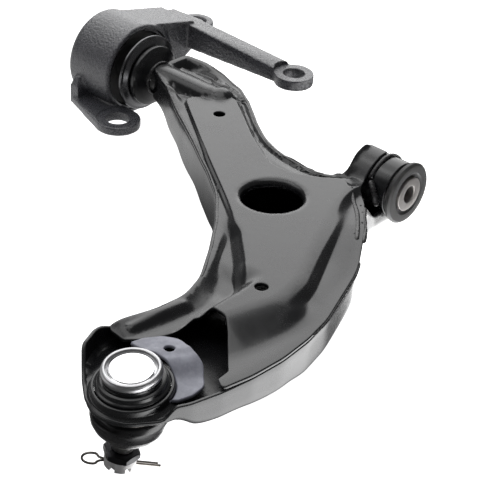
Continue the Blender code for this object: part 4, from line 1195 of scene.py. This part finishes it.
def make_pin():
    """A split pin: two legs apart, and the eye that joins them."""
    wire_r, apart, tip, neck, eye = 0.85, 0.85, 27.0, -12.0, 4.6
    points = [(tip, 0, -apart), (9, 0, -apart), (neck + 1, 0, -apart)]
    for step in range(15):
        angle = math.radians(-62 - step * (236 / 14))
        points.append((neck - 1.45 * eye + 1.35 * eye * math.cos(angle), 0, eye * math.sin(angle)))
    points += [(neck + 1, 0, apart), (9, 0, apart), (tip - 2, 0, apart)]
    section = disc(0, 0, 0, wire_r, 14)
    bm = sweep(spline(points, 1.0), lambda i, share: [spot[:2] for spot in section])
    turn = Matrix.Rotation(PIN_ANGLE, 4, "Z")
    bm.transform(STUD_PLACE @ Matrix.Translation((0, 0, PIN_HEIGHT)) @ turn)
    piece("split_pin", bm, "wire_steel", "stud", ["cotter_pin"])


# ---------------------------------------------------------------- welds


def on_plate(points, lift=0.0):
    """Plan points put on the upper plate."""
    flat = np.array(points, float)
    return np.column_stack([flat, plate_height(*flat.T) + lift])


def edge_run(start, end, inwards):
    """Part of the plate's outline between two plan points, moved inwards."""
    loop = inset(PLATE_OUTLINE, inwards)
    first = int(np.argmin(np.hypot(*(PLATE_OUTLINE - start).T)))
    last = int(np.argmin(np.hypot(*(PLATE_OUTLINE - end).T)))
    run = np.arange(first, last + 1 if last > first else last + 1 + len(loop)) % len(loop)
    return loop[run][::4]


# Seams along the plate's edge: start, end, distance inwards, lift, radius, seed and ripple
SEAMS = (
    ((-234, -10), (8, -220), 1.6, -0.4, 1.3, 1.0, 1.8),
    ((-24, -35), (-215, 35), 1.6, -0.4, 1.4, 5.0, 1.9),
    ((103, -205), (66, -108), 0.3, -1.6, 1.5, 9.0, 1.9),
    ((58, -92), (26, -50), 0.3, -1.4, 2.3, 13.0, 2.4),
)
# Weld drops on the plate: x, y and radius
DROPS = (
    (26, -55, 0.8), (33, -62, 0.6), (36, -73, 0.7), (42, -74, 0.9), (47, -90, 0.6), (9, -38, 1.0),
    (22, -46, 0.6),
)


def weld(name, *runs):
    """One piece from several runs of weld."""
    piece(name, merged(*runs), "weld_coat", "arm", angle=60)


def make_welds():
    seams = []
    for start, end, inwards, lift, radius, seed, ripple in SEAMS:
        seams.append(bead(on_plate(edge_run(start, end, inwards), lift), radius, seed, ripple))
    weld("seam_welds", *seams)
    foot = [(24.0, -31, -2), (19, -27, 3), (15, -25, 8), (10, -22, 12)]
    corner = on_plate([(7, -43), (18, -54), (31, -66), (44, -82), (53, -95)], -0.3)
    spots = on_plate([drop[:2] for drop in DROPS]).tolist()
    drops = spatter([(*spot, drop[2]) for spot, drop in zip(spots, DROPS)], 31.0)
    turn = np.radians(np.linspace(-62, 62, 16))
    over_tube = [(8.0, 23.5 * math.sin(a), 23.3 * math.cos(a)) for a in turn]
    weld("eye_welds", bead(over_tube, 2.2, 17.0), bead(foot, 2.6, 19.0), bead(corner, 2.0, 29.0, 1.7), drops)
    turn = np.radians(np.linspace(-70, 250, 40))
    weld("stem_weld", bead([(-238.5, 14.5 * math.cos(a), 14.5 * math.sin(a)) for a in turn], 2.0, 23.0))


# ---------------------------------------------------------------- stage


# From the camera's fit: its place from the hinge, its axes, and its focal length in pixels of the photo
CAMERA_AT = Vector((563.93, -849.71, 581.5))
CAMERA_RIGHT = Vector((0.74783, 0.66141, 0.0573))
CAMERA_UP = Vector((-0.39315, 0.37165, 0.84102))
CAMERA_BACK = Vector((0.53496, -0.65147, 0.53797))
FOCAL_PIXELS, FRAME_PIXELS, SENSOR = 1476.449, 481.0, 36.0
# The stage, in metres: where the lights point, and each disc's radius and height
LIGHT_AIM = Vector((0, -0.1, 0.05))
FLOOR_DISC, REFLECTOR_DISC = (12, -0.0006), (3, -0.0012)


def make_camera():
    data = bpy.data.cameras.new("camera")
    data.sensor_width = SENSOR
    data.lens = SENSOR * FOCAL_PIXELS / FRAME_PIXELS
    data.clip_start, data.clip_end = 0.01, 60
    camera = linked("camera", data)
    turned = Matrix((CAMERA_RIGHT, CAMERA_UP, CAMERA_BACK)).transposed().to_4x4()
    camera.matrix_world = Matrix.Translation(TO_WORLD @ CAMERA_AT) @ turned
    bpy.context.scene.camera = camera


def softbox(name, towards, distance, size, radiance):
    """A rectangular light with a given radiance, in direction towards from the object."""
    data = bpy.data.lights.new(name, "AREA")
    data.shape = "RECTANGLE"
    data.size, data.size_y = size
    data.energy = math.pi * radiance * size[0] * size[1]
    lamp = linked(name, data)
    lamp.location = LIGHT_AIM + Vector(towards).normalized() * distance
    lamp.rotation_euler = (LIGHT_AIM - lamp.location).to_track_quat("-Z", "Y").to_euler()


def flat_disc(name, radius, height, material):
    """A round plane of the stage."""
    mesh = bpy.data.meshes.new(name)
    mesh.from_pydata(disc(0, 0, height, radius, 96), [], [list(range(96))])
    mesh.materials.append(material)
    made = linked(name, mesh)
    return made


def make_floor():
    """A white paper floor, and below it the reflector that the paper stands on, which lights the object."""
    shine = {"roughness": 0.9, "specular_ior_level": 0.0, "emission_color": (1.0, 1.0, 1.0)}
    n = Nodes(bpy.data.materials.new("floor_paper"))
    colour = n.mix(n.noise(60, 4, 0.6), (0.80, 0.80, 0.80), (0.83, 0.83, 0.83))
    floor = flat_disc("floor", *FLOOR_DISC, n.finish(base_color=colour, emission_strength=1.0, **shine))
    floor.visible_diffuse = False
    floor.visible_glossy = False
    floor.visible_transmission = False
    n = Nodes(bpy.data.materials.new("reflector"))
    total = n.patches(
        0.08,
        (5.0, ("X", 0.205, 0.27), ("Y", -0.31, -0.24), ("Y", 0.12, 0.03)),
        (0.9, ("X", -0.02, -0.16)),
        (5.5, ("X", 0.195, 0.17), ("Y", -0.222, -0.205), ("X", 0.06, 0.11)),
    )
    material = n.finish(base_color=(0.1, 0.1, 0.1), emission_strength=total, **shine)
    flat_disc("floor_reflector", *REFLECTOR_DISC, material).visible_camera = False


def make_world():
    """Dim surroundings with two brighter places: low behind on the left, and a strip high on the left."""
    world = bpy.data.worlds.new("studio")
    bpy.context.scene.world = world
    n = Nodes(world, "Background", "Generated")
    total = n.patches(
        0.13,
        (3.0, ("Z", 0.16, 0.06), ("Y", 0.50, 0.72), ("X", -0.15, -0.40)),
        (1.6, ("X", -0.26, -0.42), ("Y", 0.00, -0.14), ("Y", -0.66, -0.52), ("Z", 0.46, 0.58)),
    )
    n.finish(color=(1.0, 1.0, 1.0), strength=total)


def make_stage():
    bpy.context.scene.view_settings.view_transform = "Standard"
    make_camera()
    make_floor()
    make_world()
    softbox("softbox_behind", (-0.60, 0.66, 0.60), 2.6, (2.6, 2.2), 2.5)
    softbox("softbox_above", (-0.13, 0.07, 1.0), 2.4, (2.0, 2.0), 1.9)


make_stampings()
make_front_bush()
make_rear_bush()
make_bracket()
make_ball_joint()
make_welds()
make_stage()
